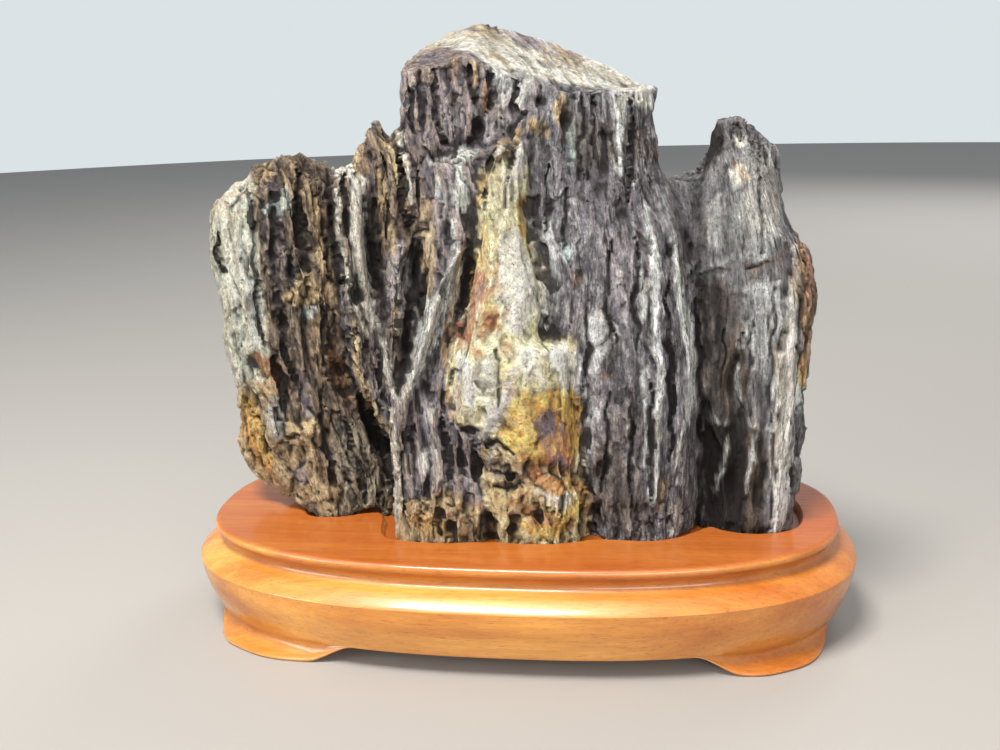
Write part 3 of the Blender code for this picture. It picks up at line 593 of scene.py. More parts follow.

# Colour strokes on the sheet: tone, strength, path (x, z, half-width); the near-black strokes and
# the navy ones lie along slots, cracks and shaded faces, as painted shade
# More painted shadow on the wing spike's inner face
# The grey block's ledge: a painted highlight on its top, and painted shadow above it under the
# tower's base
# The ledge across the wing: the dark line and short dashes under it are painted shadow
# The wing spike's inner face, towards the saddle: painted shadow
strokes = readTable("""
# Left lobe
cream 0.9: -117 198 7, -109 195 4
cream 0.5: -117 176 4, -116 150 4
haze 0.5: -112 178 3, -110 150 3, -110 132 3
rust 0.85: -111 125 2.5, -104 119 3.5, -101 112 2
ochre 0.8: -117 106 3.5, -116 92 3.5, -110 76 4
rust 0.5: -120 100 2, -118 84 2.5, -104 66 3
haze 0.8: -104 106 3.4, -104 90 3.6
plum 0.9: -95 71 5.5
plum 0.8: -91 116 3.4, -92 103 3.6
plum 0.7: -98 200 3, -99 176 3.5, -97 160 3
teal 1: -92 196 4.2, -92 191 3.4
teal 0.9: -101 189.5 2.2, -95 190 2.2
teal 0.95: -86 147 4.2, -86 145 4.2
tan 1: -86 163 3, -87 154 5, -94 151 3.6
tan 0.95: -99 85 5, -88 93 4.6
brown 0.8: -80 196 3, -79 176 3
tan 0.6: -98 206 3, -103 202 2.4
tan 0.7: -84 72 5, -83 56 5
tan 0.55: -82 205 1.6, -80 180 1.4, -78 150 1.6
brown 0.7: -90 210 3, -86 186 3
brown 0.6: -82 140 3, -80 115 3.4
rust 0.35: -77 130 2, -72 106 2.4
navy 0.9: -93 172 1.6, -93 156 1.8
soot 0.8: -124 179 0.9, -123.6 163 1
haze 0.5: -90 99 1.6
# Pale blade and its neighbours
cream 1: -66 206 3, -60 203 3, -59 196 3
cream 1: -58.5 202 3, -60 190 3.6, -61.5 170 3, -59 150 2.6, -56.5 138 2.2, -52 116 1.9,
  -50 107 1.4
cream 0.95: -60 206 2.6, -60.5 192 3.4, -61 176 3, -59.5 160 2.2
haze 0.6: -57.5 196 1.2, -58 176 1.4, -56.5 156 1.2
cream 0.85: -70 197 1.8, -70 180 1.6, -68.5 165 1.4, -67 152 1.2, -61 135 1
plum 0.85: -67.5 203 1.3, -67.5 176 1.4, -65.5 160 1
tan 0.85: -67 140 1.3, -66 122 1.3, -63.8 112 1.4, -61 104 1.4, -55.6 93 1.5, -51 81 1.2
brown 0.8: -75 172 1.8, -75 144 2
brown 0.9: -53 223 2.4, -55 206 5
plum 0.6: -53 220 1.4, -52 206 2
tan 0.8: -58 214 1.4, -60 203 1.4
chocolate 1: -45 218 6, -44 190 7, -44 116 6
tan 0.9: -46 217 1.1, -43 200 1.2, -40 187 1.1
cream 0.75: -39 220 1, -38.4 190 1
tan 0.8: -50.5 206 1.1, -48.5 186 1.2, -47.5 168 1
lilac 0.95: -45 172 4, -45.5 152 5, -44 132 3.6
tan 0.5: -48.5 150 1.2, -47 134 1.4
navy 0.8: -37 176 3, -37 150 3.6, -38 140 2.4
tan 0.7: -32 192 2.4, -32.5 170 3, -33 152 2.2
teal 0.8: -36.5 174 2
soot 0.8: -74 205 1.6, -73.5 180 1.8, -72 160 1.6, -73 142 1.2
soot 0.85: -54.5 197 1, -55 176 1.4, -52.5 158 1.4, -53.5 138 1
soot 0.9: -38.5 164 1.2, -41.5 150 1.8, -44 134 1.8, -46.5 120 1.4, -48.5 108 0.9
soot 0.95: -69 119 1.2, -65.5 104 2.2, -61.5 94 3, -57 83 3.4, -53 68 3
# Tower, left of the yellow folds
lilac 0.5: -36.5 246 1.4, -35.5 226 1.8
lilac 0.5: -29.5 248 1.2, -29 232 1.6, -30 214 1.8
lilac 0.45: -24 240 1.2, -23 220 2
lilac 0.45: -17 238 1.6, -17 220 2.4
brown 0.6: -18 252 1.6, -18 240 1.6
tan 0.6: -11 246 1.8, -10 238 1.8
haze 0.7: -22 209 1.6, -30 207 1.2
soot 0.8: -6.5 231 1.4, -8.5 222 2.2, -12 216.5 1.8, -21 212.5 1.6, -31 210 1.4
vein 0.95: -19 209.5 2.2, -10 212 2.4
vein 0.8: -17 207 2.8, -17.5 186 2.2
haze 0.7: -27 200 2, -25 190 1.6
vein 0.8: -21.6 188 0.9, -21.4 170 0.9
haze 1: -17.5 172 2.6, -24 158.5 3.4, -30 145 3.8, -34.8 132 4, -39 122 3.4, -45.5 107 2.4
vein 1: -18 171 1.8, -24 157 2.6, -30.5 143 3, -37 125 2.6, -44 109 1.8
soot 0.9: -12.4 182 0.9, -13.8 171 1.3, -16.7 156 1.6, -20 146 1.6, -24 132 1.2
brown 0.9: -14.8 180 1.3, -18.4 165 1.5, -22.4 150 1.5, -26 135 1.5, -28 121 1.2
cream 0.6: -17 168 0.7, -21 153 0.8, -25 138 0.8
# Tower middle
haze 0.9: -1 243 2.4, -1 226 2
haze 0.55: 9 240 5, 6 230 3
plum 0.7: 16 234 2.6, 14 230 2.4
rust 0.8: -6.2 238 1.2, -6.2 229 1.2
tan 0.9: 13 223 3.2, 18 218 2.4
tan 0.9: 24 232 2.4, 24 223 2.6
teal 0.9: 28 224 1.3, 28 206 1.3
soot 0.7: 28.4 237 0.7, 26.5 226 0.9, 25 213 0.7
# Yellow folds and face
cream 0.8: 8 214 1.8, 4 206 1.8, 1 196 1.6
tan 0.75: 8 219 2.2, 2 214 2.4, -4 209 2
cream 0.8: 5 216 0.9, -3 210 1, -8 203 1
ochre 0.6: -5 206 1.2, -8 200 1.4, -10.6 188 1.2
haze 0.6: 9 209 2.2, 6 200 2
brown 0.55: -2 214 0.8, -6 206 0.9, -8 192 0.8
brown 0.45: 5.5 210 0.7, 2 200 0.8, 0.5 188 0.7
ochre 0.8: 8 192 1.8, 9 180 2.2, 11 172 1.4
brick 0.7: 7.5 190 2.2
cream 0.85: 2 176 5, 3 164 6, 5 150 7, 4 140 6
ochre 0.6: -8 184 1.8, -9 172 1.8, -12 160 1.6, -15 148 1.6
brown 0.5: -9 178 0.7, -8 164 0.8, -11 152 0.7
brown 0.4: 3 186 0.7, 1 174 0.8, 3 162 0.7
cream 0.95: 9.5 188 1.2, 12.2 174 1.5, 14.8 164 1.5, 15.8 152 1.6, 15.2 137 1.6
brick 0.9: -10.5 162 2.2, -11.5 151 3.2
brick 0.9: -15 143 2.4, -19.5 133 3
brick 0.8: -4 147 2, -8 140 2.4
plum 0.6: -9 158 1.2, -17 140 1.4
brick 0.6: -2.5 155 1.8
brick 0.7: -7 143 1.8, -3 138 1.6
brick 0.7: -2 131 1.6, 0 127 1.2
ochre 0.6: -7 150 2.4, -9 140 2.6
brick 0.9: -4 157 0.9, -6 151 1.3
brick 0.85: -14 153 1.4, -13 146 1.2
rust 0.8: -9 146 1.1, -5 141 1.5, -9 135 1.2
brick 0.85: -16 137 1.4, -22 128 1.3
plum 0.7: -12 140 0.9, -13 133 0.8
rust 0.6: -3 166 0.9, -6 160 1.1
rust 0.6: -15 128 1.2, -11 125 1
brick 0.5: 2 146 0.8, 0 142 0.9
vein 0.8: -20 124 3.2, -18 106 4
yellow 0.9: -24 120 2.6, -22 102 3
cream 0.7: -10 122 4, -10 106 3
ochre 0.6: -26 114 1, -25.5 100 1.2, -19 95.5 1.2
ochre 0.5: -2 120 2.4, 3 112 2.4
haze 0.85: 1.3 118 1.2, -2 107 1.8, -8 98 2.4, -13 86 2
plum 0.6: -5 103 0.8, -11 92 1, -14 84 0.8
lilac 0.6: 2.6 118 0.9, 0 106 1.2, -6 95 1.2
cream 0.85: 22 130 4, 24 116 4
cream 0.7: 8 128 3, 10 116 3
haze 0.8: 29.6 131 1, 29.8 110 1.2, 29.6 92 1
ochre 0.85: 10 106 4, 18 103 6, 27 104 4, 26 88 4, 12 86 5, 1 88 4
rust 0.8: 15.7 98 6, 20 92 6, 22 80 5, 8 77 4.5
plum 0.95: 15.7 98 4.4, 15.5 92 4.4
plum 0.9: 23.4 95 3.2
plum 0.9: 21.7 79.6 4.4
plum 0.85: 6.6 75.4 3.4
brown 0.6: 19 89 3, 25 86 2.4
ochre 0.95: 17.6 85 2.6
cream 0.6: -6 86 1.2, -10 80 1.4
plum 0.6: -12 78 2, -5 74 2, 4 70 2
cream 0.5: 12 66 2.4, 20 60 2.4, 27 64 2.4
brown 0.6: 3 60 2, 10 52 2.4, 24 48 2.4
ochre 0.6: 22 71 3, 30 66 2.6, 30 56 2.4
rust 0.7: 9 72 3.4, 22 66 3.2
rust 0.6: 0 60 2.6, 12 54 3.4, 26 51 2.6
ochre 0.7: 4 49 2.4, 18 45 2.4, 29 60 2
plum 0.7: 12 90 1.4, 26 76 1.6
# Foot of the left buttress
cream 0.85: -52 102 1.2, -51 85 1.2, -50.3 66 1.3, -52.6 44 1.4
soot 0.6: -48.6 92 1.2, -47.8 70 1.4
vein 0.85: -39 81 2, -39 75 2.2
vein 0.6: -34 104 1.1, -34 96 1.1
plum 0.6: -44 108 3, -42 90 3, -43 70 2
plum 0.5: -26 94 2, -22 72 3
haze 0.4: -34 90 2, -32 70 2.4
ochre 0.4: -44 50 4, -30 46 4
brown 0.5: -37 56 2, -26 54 2, -18 46 3
lilac 0.6: -20 116 2, -26 96 3
# Right centre
chocolate 0.6: 28 222 5, 38 212 7, 50 216 7, 60 210 6
ash 0.8: 26 202 7, 40 194 9, 54 196 8
soot 0.8: 43 228 0.9, 41.5 210 1.4, 39 192 1.1
soot 0.7: 35.5 216 0.8, 34.5 200 1
soot 0.6: 50.5 198 0.9, 50 184 0.8
soot 0.6: 57.5 226 0.8, 57.5 212 0.8
haze 0.55: 18 186 1.8, 19 160 2.2, 20 141 2.6
haze 0.45: 38.5 141 6, 38.5 130 6
haze 0.35: 24 126 2, 36 120 2.4
lilac 0.55: 42 176 5, 50 160 6, 50 146 6
lilac 0.4: 28 150 4, 30 140 4
teal 0.85: 25 174 2, 25.6 168 2.2
brown 0.7: 38 170 1.2
brown 0.6: 30 162 1.8, 31 158 1.8
brown 0.7: 42 117.6 3
chocolate 0.6: 42 82 8, 46 60 10, 56 50 8
chocolate 0.4: 52 108 5, 50 92 5
haze 0.35: 34 108 2, 33 84 2.4
haze 0.3: 68 196 3, 66 180 3
vein 0.9: 46 240 2.2, 47.9 227.4 2, 48.4 214 1.2, 47.8 201.5 0.9
vein 0.8: 53.7 198.5 1.4
vein 0.95: 58 190 0.9, 59.5 180 1.8, 60.2 175.4 3, 61.2 169.5 2.4, 62.2 162.4 2, 62 153.5 1.3,
  61.9 144.6 1.1, 62 135.5 1, 63.3 129.4 1.4, 64.9 123.2 1.6, 65.5 118.2 1.7, 64.8 112 1.8,
  63.9 104.6 1.7, 63.5 93 1.3, 62.9 77.5 1.3, 61.4 60.5 1
vein 0.7: 57 163 0.8, 57.6 150 0.9, 57 141 0.8
vein 0.8: 56.5 127.5 0.9, 57.6 111 1, 58.5 90 0.9, 59.2 71 1, 58.9 60 0.8
vein 0.9: 70.4 178 1.3, 70.6 165 1.4, 72.3 156 1.2, 74.5 141.5 1.8, 76 135.4 2.3, 77 127 1.6,
  77.2 117 1.2, 76.3 105 1.5, 75 96 1.1, 72.9 86 0.8, 71.5 70 0.8
rust 0.5: 60.5 178 1
tan 0.5: 66 74 2, 64 60 2
beige 0.45: 72 60 2.4, 70 48 3
slate 0.8: 81 113 2.6, 81 80 3, 81 56 2.6
# Saddle and wing
ash 0.7: 72 196 7, 74 178 8
soot 0.85: 85.5 219 2.6, 84.5 211 3.4, 81 203.5 2
haze 0.2: 102 206 9, 102 172 10
beige 0.2: 104 206 4, 104 180 4
beige 0.45: 98 196 1.4, 98 176 1.4
beige 0.4: 110 194 1.6, 109 178 1.6
cream 0.8: 96 203 3.2, 95 198 3.6
rust 0.5: 98 199 1.6, 93 205 1.4
cream 0.6: 95 214 3
haze 0.35: 86 192 2, 86 170 2
soot 0.6: 88.5 209 0.9, 91.8 212 0.9
soot 0.75: 81 157 2, 85 150 4, 86 143 3
soot 0.7: 80 159.6 0.8, 87 161.5 0.9, 94 163 0.5
chocolate 0.7: 97 163.5 0.8, 106 165.5 1.6, 114 168.5 1
haze 0.5: 82 163.5 0.9, 94 167 0.9, 106 169 0.9
chocolate 0.6: 90 161 0.7, 90.5 152 0.6
chocolate 0.6: 96 162 0.6, 96.5 150 0.6
brown 0.6: 101 162 0.8, 101.5 154 0.6
chocolate 0.7: 108.5 166 0.8, 109 158 0.6
chocolate 0.7: 112 168 0.8, 112.5 161 0.6
soot 0.6: 84 157 3.4, 90 150 4, 92 138 3.4
soot 0.7: 88 140 2.4, 89 120 3, 88 102 2.6
soot 0.6: 97.5 130 1.6, 98 104 2
haze 0.4: 107 150 8, 110 114 5
haze 0.6: 100 156 3, 108 154 3
soot 0.85: 86.3 133.8 2.6, 84 124 1.6
chocolate 0.75: 95 131 4, 94 104 5
soot 0.9: 86 97 4, 90 78 6, 90 50 7
soot 0.85: 98 95 4, 99 76 5, 98 50 6
soot 0.7: 105 93 1.6, 104 74 2
chocolate 0.6: 104 96 3, 104 70 3.4, 103 48 4
haze 0.7: 96 121 0.8, 96 101 0.8
haze 0.6: 93.6 93 0.8, 90.8 81 0.9, 87 65.6 0.8
haze 0.7: 105.2 95 0.8, 103.2 82.4 0.9, 100.9 71 0.9, 100.5 63.6 0.8
brown 0.5: 112.4 131 1, 112.4 118 1
haze 0.7: 84 99.7 0.7, 92 96.6 0.7, 95.2 98.6 0.7, 104.5 96.4 0.7, 116 92.7 0.7
haze 0.6: 96.4 148 0.7, 112.8 157.6 0.7
haze 0.5: 93 131 0.7, 104 131.5 0.7
beige 0.95: 117 150 2.4, 117 134 3.2, 115.5 96 3.6, 114.5 52 3.8
cream 0.5: 118.5 120 1.6, 117 80 1.8, 116 52 2
vein 0.85: 121 112 2.4, 121 103 2.4
vein 0.8: 117.5 93.5 1.6
haze 0.7: 118 88 2, 117 60 2
brown 0.95: 121 176 2.4, 123.5 160 3.2, 123.5 142 2.6, 124.4 127 1.4
brick 0.45: 122 172 1.4, 124 158 1.6, 124 142 1.4
chocolate 0.7: 124.5 172 1.2, 125.8 158 1.4, 126 144 1.2
beige 0.8: 117.5 172 1, 118 156 1.4, 118 138 1.6
ochre 0.5: 122.5 126 1.6, 122.6 114 1.6
brown 0.6: 119 170 1.6, 119 150 1.6
soot 0.95: 84.5 223 2.4, 83 213 3.2, 80 205 2.6
# Flat top
brown 0.6: -5 250.5 1.2, 8 246 1.2
slate 0.8: 20 246.5 1.8, 26 244 1.6
slate 0.8: 33 247.5 1.6
brown 0.35: 14 249.5 0.8, 36 241 0.8, 38 236 0.8
brown 0.3: 26 248 0.7, 42 241 0.8, 43 237 0.8
beige 0.5: 38 245 1, 52 237 1.2, 54 230 1.2
slate 0.45: 44 243 0.9, 57 236 1, 58 229 1
""")

# Crumbly stains, broken up by noise: tone, strength, outline
crumbs = readTable("""
brick 0.9: -8 169, -3 160, 0 148, -3 136, -11 127, -25 125, -23 136, -17 147, -14 160
plum 0.8: 8 106, 24 104, 27 90, 12 86
brick 0.8: 2 84, 30 86, 33 62, 0 62
rust 0.7: -114 128, -97 122, -97 108, -112 112
rust 0.5: -54 60, -12 60, -10 40, -54 40
tan 0.6: -127 205, -106 205, -106 186, -127 182
""")


# Soft mask of an outline: 1 well inside, 0 well outside
def insidePatch(x, z, outline, feather):
    inside = np.zeros(len(x), dtype=bool)
    nearest = np.full(len(x), 1e9)
    for (x0, z0), (x1, z1) in zip(outline, outline[1:] + outline[:1]):
        crosses = (z0 > z) != (z1 > z)
        level = (x1 - x0) * (z - z0) / ((z1 - z0) if z1 != z0 else 1e-9) + x0
        inside ^= crosses & (x < level)
        nearest = np.minimum(nearest, nearLine(x, z, x0, z0, x1, z1)[2])
    signed = np.where(inside, nearest, -nearest)
    return np.clip(signed / feather * 0.5 + 0.5, 0, 1)


# Places after some rounds of averaging with their neighbours
def smoothedPlaces(places, edges, rounds):
    count = np.maximum(np.bincount(edges.ravel(), minlength=len(places)), 1)
    soft = places.copy()
    for _ in range(rounds):
        total = np.empty_like(soft)
        for axis in range(3):
            flow = np.bincount(edges[:, 0], weights=soft[edges[:, 1], axis], minlength=len(soft))
            flow += np.bincount(edges[:, 1], weights=soft[edges[:, 0], axis], minlength=len(soft))
            total[:, axis] = flow / count
        soft = total
    return soft


# How far each vertex lies below (+) or above (-) its smoothed surroundings, fine and broad
def hollowness(mesh):
    places, normals = readPoints(mesh)
    edges = np.empty(len(mesh.edges) * 2, dtype=np.int64)
    mesh.edges.foreach_get("vertices", edges)
    edges = edges.reshape(-1, 2)
    fine = smoothedPlaces(places, edges, 5)
    broad = smoothedPlaces(fine, edges, 45)
    return ((fine - places) * normals).sum(axis=1), ((broad - places) * normals).sum(axis=1)


# Where the rock is granular rather than fibrous
granularAreas = readTable("""
0.85: -11 216, 11 219, 12 190, 16.5 156, 16 136, 30 133, 33 60, 33 40, -56 40, -54 62, -16 64,
  -12 92, -26 98, -28 116, -20 140, -13 168
0.6: -130 206, -106 206, -106 118, -98 96, -84 52, -110 60, -126 80, -130 112
0.5: -30 262, -10 248, 2 241, 28 236.5, 62 227, 70 250, 10 268
""")

# How the painted colours are shaded and stained: shares of the painted shade in hollows and slots,
# the painted highlight on raised edges and the rust stain, and the tones that do it, as sRGB but
# for rustTone, which is linear
stoneShadeAndStain = {
    "lift": 2.12, "saturation": 1.10, "layerContrast": 0.42, "broadContrast": 0.24, "edge": 0.68,
    "hollowShade": 0.92, "valleyShade": 0.05, "slot": 0.80, "rust": 0.25, "highlightTone": (0.80, 0.71, 0.57),
    "shadeTone": (0.13, 0.10, 0.09), "rustTone": (0.50, 0.34, 0.22),
}

# Tone of the small flakes that lie among each painted tone
partners = {
    "cream": "tan", "paleGreen": "haze", "lilac": "haze", "plum": "lilac", "chocolate": "brown",
    "ochre": "yellow", "yellow": "brown", "rust": "ochre", "brick": "yellow", "vein": "haze",
    "tan": "brown", "soot": "chocolate", "slate": "haze", "beige": "slate", "teal": "haze",
    "brown": "tan", "haze": "lilac", "navy": "ash", "ash": "lilac", "moss": "brown",
}

# Noises of the paint: widths across the layers, in depth and in height, then their shifts
paintNoise = {
    "streak": ((3.2, 16, 22), (0, 0, 0)), "sway": ((10, 20, 30), (5, 0, 0)),
    "rag": ((6, 9, 7), (0, 7, 0)), "line": ((1.9, 14, 24), (0, 2, 3)),
    "cloud": ((28, 40, 50), (0, 2, 3)), "crumb": ((2.3, 3.6, 3.9), (0, 0, 0)),
}

# Bands of the unseen back: tone, tone of its thinner layers, strength, shares of three noises
rearTones = [
    ("chocolate", "brown", 3.0, (1.0, 0.5, 0.2)), ("plum", "lilac", 2.8, (0.2, -1.0, -0.5)),
    ("haze", "lilac", 2.6, (-1.0, 0.6, -0.4)), ("tan", "brown", 3.2, (-0.7, -0.6, 0.5)),
    ("cream", "tan", 2.6, (0.9, -0.9, 0.6)),
]


# Lay a tone over both tints of the rock, its body and its flakes
def mixInto(tints, tone, share):
    return tints * (1 - share[:, None]) + np.array(srgb(*tone)) * share[:, None]


# Lay a tone on the body, and its flake tone, part its own, on the flakes
def layTone(tints, tone, flakeTone, share, own=0.35):
    flake = [own * a + (1 - own) * b for a, b in zip(tones[tone], tones[flakeTone])]
    return np.stack([mixInto(tints[0], tones[tone], share), mixInto(tints[1], flake, share)])


def paintStone(mesh):
    shadeAndStain = stoneShadeAndStain
    places, normals = readPoints(mesh)
    x, z = toSheet(places)
    depth, height = places[:, 1], places[:, 2]
    across = layerPlace(places)
    spots = np.column_stack([across, depth, height])
    streak, sway, rag, line, cloud, crumb = (
        np.array([wave(*spot) for spot in spots / widths + shifts])
        for widths, shifts in paintNoise.values())
    behind = np.clip((depth - 2.0) / 30.0, 0, 1)
    paintX = x + 0.32 * np.maximum(depth + 4.0, 0) + streak * 1.1 + sway * (0.8 + 9.2 * behind)
    paintZ = z + rag * 2.0 + sway * 12.0 * behind
    ragging = 0.45 * line + 0.5 * crumb
    whole = np.ones(len(x))
    tints = layTone(np.zeros((2, len(x), 3)), "ash", "lilac", whole)
    for tone, flakeTone, strength, outline in patches:
        share = insidePatch(paintX, paintZ, outline, 1.2)
        onEdge = (share > 0) & (share < 1)
        share = np.clip((share - 0.5 + 0.35 * ragging * onEdge) * 2.2 + 0.5, 0, 1)
        tints = layTone(tints, tone, flakeTone, share * strength)
    for tone, strength, path in strokes:
        share = strokeShare(paintX, paintZ, path, 1.3 if tone == "vein" else 1.5, 0.8, 0.4)
        ragged = np.clip((share + ragging * np.minimum(share * 3, 1) - 0.2) * 3.4, 0, 1)
        tints = layTone(tints, tone, partners[tone], ragged * strength, 0.72)
    for tone, strength, outline in crumbs:
        share = insidePatch(paintX, paintZ, outline, 3.0)
        share = share * np.clip(3.2 * crumb + 1.2 * rag - 0.25, 0, 1)
        tints = layTone(tints, tone, partners[tone], share * strength, 0.8)
    rear = layTone(tints, "lilac", "ash", whole)
    for tone, flakeTone, strength, (swayed, clouded, streaked) in rearTones:
        band = swayed * sway + clouded * cloud + streaked * streak
        rear = layTone(rear, tone, flakeTone, np.clip(strength * band - 0.35, 0, 0.9))
    turnedAway = np.clip((depth - 12.0 + 10.0 * normals[:, 1]) / 12.0, 0, 1)[:, None]
    tints = tints * (1 - turnedAway) + rear * turnedAway
    onTop = np.clip((normals[:, 2] - 0.5) / 0.3, 0, 1) * (height > 222.0)
    tints = mixInto(tints, tones["brown"], onTop * np.clip(streak * 2.2 - 0.1, 0, 1) * 0.55)
    tints = mixInto(tints, tones["slate"], onTop * np.clip(-sway * 2.2 - 0.35, 0, 1) * 0.5)
    tints = 1 - (1 - np.clip(tints, 0, 1)) ** shadeAndStain["lift"]
    grey = tints.mean(axis=2)[:, :, None]
    tints = np.clip(grey + (tints - grey) * shadeAndStain["saturation"], 0.01, 0.95)
    contrast = shadeAndStain["layerContrast"] * np.clip(line * 1.4, -0.9, 0.9) + shadeAndStain["broadContrast"] * cloud
    tints *= (1.0 + contrast)[:, None]
    fine, broad = hollowness(mesh)
    # Painted highlight on raised edges: lighter, and creamier towards the left
    edge = (np.clip(-fine * 2.0 - 0.16, 0, 1) * shadeAndStain["edge"])[:, None]
    warm = 0.6 * np.clip((30.0 - x) / 60.0, 0.15, 1.0)[:, None]
    own = np.clip(tints.mean(axis=2) * 7.0, 0.1, 1)[:, :, None]
    lighter = np.clip(tints * 1.7 + 0.03 * own, 0, 1)
    warm = warm * own
    highlightTint = lighter * (1 - warm) + np.array(srgb(*shadeAndStain["highlightTone"])) * warm
    tints = tints * (1 - edge) + highlightTint * edge
    # Painted shade: slots and cracks, fine hollows and broad valleys darkened towards the shade
    # tone
    slotShade = np.zeros(len(x))
    for cut, path in slots + cracks:
        share = strokeShare(x, z, path, 0.8, 1.0, 0.7) * min(cut / 9.0, 1.0)
        slotShade = np.maximum(slotShade, share)
    slotShade *= 1.0 - behind
    hollowShade = np.clip(fine * 1.5 - 0.22, 0, 1) * shadeAndStain["hollowShade"]
    hollowShade += np.clip(broad * shadeAndStain["valleyShade"] - 0.05, 0, 0.6)
    hollowShade = np.clip(np.maximum(hollowShade, slotShade * shadeAndStain["slot"]), 0, 0.93)
    tints = mixInto(tints, shadeAndStain["shadeTone"], hollowShade)
    rusty = np.clip(crumb - 0.3, 0, 1)[:, None] * shadeAndStain["rust"] * own
    tints = tints * (1 - rusty) + np.array(shadeAndStain["rustTone"]) * rusty
    # Both colours carry the painted shade and highlight
    for name, tint in zip(("rockColour", "flakeColour"), np.clip(tints, 0, 1)):
        layer = mesh.color_attributes.new(name, "FLOAT_COLOR", "POINT")
        layer.data.foreach_set("color", np.column_stack([tint, whole]).ravel())
    granular = np.zeros(len(x))
    for share, outline in granularAreas:
        granular = np.maximum(granular, share * insidePatch(paintX, paintZ, outline, 3.0))
    fibrous = mesh.attributes.new("fibrous", "FLOAT", "POINT")
    fibrous.data.foreach_set("value", 1.0 - granular)
    run = mesh.attributes.new("layerRun", "FLOAT_VECTOR", "POINT")
    run.data.foreach_set("vector", (spots * mm).ravel())
    print("stone painted")


def newMaterial(name):
    material = bpy.data.materials.new(name)
    material.use_nodes = True
    return material, material.node_tree, material.node_tree.nodes["Principled BSDF"]


def addNode(tree, kind, **values):
    node = tree.nodes.new(kind)
    for name, value in values.items():
        setattr(node, name, value)
    return node


# A socket takes a link, a colour or a number
def feed(tree, socket, value):
    if isinstance(value, bpy.types.NodeSocket):
        tree.links.new(value, socket)
    else:
        socket.default_value = (*value, 1.0) if isinstance(value, tuple) else value


# Stretched noise brought to a range: the grain of rock and wood alike
def makeGrainGroup():
    group = bpy.data.node_groups.new("stretchedGrain", "ShaderNodeTree")
    for label, kind, value in (
            ("Place", "Vector", (0, 0, 0)), ("Stretch", "Vector", (1, 1, 1)),
            ("Scale", "Float", 100.0), ("Detail", "Float", 4.0), ("Harshness", "Float", 0.6),
            ("Low", "Float", 0.3), ("High", "Float", 0.7), ("To Low", "Float", 0.0),
            ("To High", "Float", 1.0)):
        socket = group.interface.new_socket(label, in_out="INPUT", socket_type="NodeSocket" + kind)
        socket.default_value = value
    group.interface.new_socket("Mask", in_out="OUTPUT", socket_type="NodeSocketFloat")
    given = group.nodes.new("NodeGroupInput").outputs
    result = group.nodes.new("NodeGroupOutput")
    stretched = addNode(group, "ShaderNodeVectorMath", operation="MULTIPLY")
    texture = group.nodes.new("ShaderNodeTexNoise")
    ranged = group.nodes.new("ShaderNodeMapRange")
    for label, socket in (
            ("Place", stretched.inputs[0]), ("Stretch", stretched.inputs[1]),
            ("Scale", texture.inputs["Scale"]), ("Detail", texture.inputs["Detail"]),
            ("Harshness", texture.inputs["Roughness"]), ("Low", ranged.inputs["From Min"]),
            ("High", ranged.inputs["From Max"]), ("To Low", ranged.inputs["To Min"]),
            ("To High", ranged.inputs["To Max"])):
        group.links.new(given[label], socket)
    group.links.new(stretched.outputs["Vector"], texture.inputs["Vector"])
    group.links.new(texture.outputs["Fac"], ranged.inputs["Value"])
    group.links.new(ranged.outputs["Result"], result.inputs["Mask"])


# Each grain of a table, by its name
def addGrains(tree, place, table):
    grains = {}
    for name, (stretch, *values) in table.items():
        group = bpy.data.node_groups["stretchedGrain"]
        node = addNode(tree, "ShaderNodeGroup", node_tree=group)
        tree.links.new(place, node.inputs["Place"])
        node.inputs["Stretch"].default_value = stretch
        labels = ("Scale", "Detail", "Harshness", "Low", "High", "To Low", "To High")
        for label, value in zip(labels, values):
            node.inputs[label].default_value = value
        grains[name] = node.outputs["Mask"]
    return grains


def addMix(tree, blend, share, first, second):
    node = addNode(tree, "ShaderNodeMix", data_type="RGBA", blend_type=blend)
    for index, value in ((0, share), (6, first), (7, second)):
        feed(tree, node.inputs[index], value)
    return node.outputs[2]


def addMath(tree, operation, first, second):
    node = addNode(tree, "ShaderNodeMath", operation=operation)
    feed(tree, node.inputs[0], first)
    feed(tree, node.inputs[1], second)
    return node.outputs["Value"]


# Bumps one over another: grain, distance in metres, strength
def addBumps(tree, grains, table, target):
    normal = None
    for name, distance, strength in table:
        bump = addNode(tree, "ShaderNodeBump")
        bump.inputs["Distance"].default_value = distance
        bump.inputs["Strength"].default_value = strength
        tree.links.new(grains[name], bump.inputs["Height"])
        if normal is not None:
            tree.links.new(normal, bump.inputs["Normal"])
        normal = bump.outputs["Normal"]
    tree.links.new(normal, target)


# Grains: stretch, scale, detail, harshness, then the range of the noise and what it is brought to
rockGrains = {
    "fibre": ((1.0, 0.35, 0.13), 900.0, 7.0, 0.72, 0.34, 0.66, 0.44, 1.54),
    "crumb": ((1.0, 1.0, 0.7), 650.0, 8.0, 0.80, 0.34, 0.66, 0.48, 1.50),
    "longFlakes": ((1.0, 0.5, 0.22), 620.0, 8.0, 0.80, 0.48, 0.60, 0.0, 0.75),
    "roundFlakes": ((1.0, 1.0, 0.8), 430.0, 8.0, 0.82, 0.48, 0.60, 0.0, 0.8),
    "pores": ((1.0, 1.0, 0.4), 1300.0, 4.0, 0.7, 0.57, 0.66, 0.0, 0.75),
    "stain": ((1.0, 0.6, 0.3), 170.0, 4.0, 0.6, 0.52, 0.72, 0.0, 0.4),
    "gaps": ((1.0, 0.5, 0.16), 420.0, 6.0, 0.62, 0.33, 0.42, 0.85, 0.0),
    "sheen": ((1.0, 1.0, 0.6), 400.0, 4.0, 0.6, 0.30, 0.70, 0.55, 0.85),
}
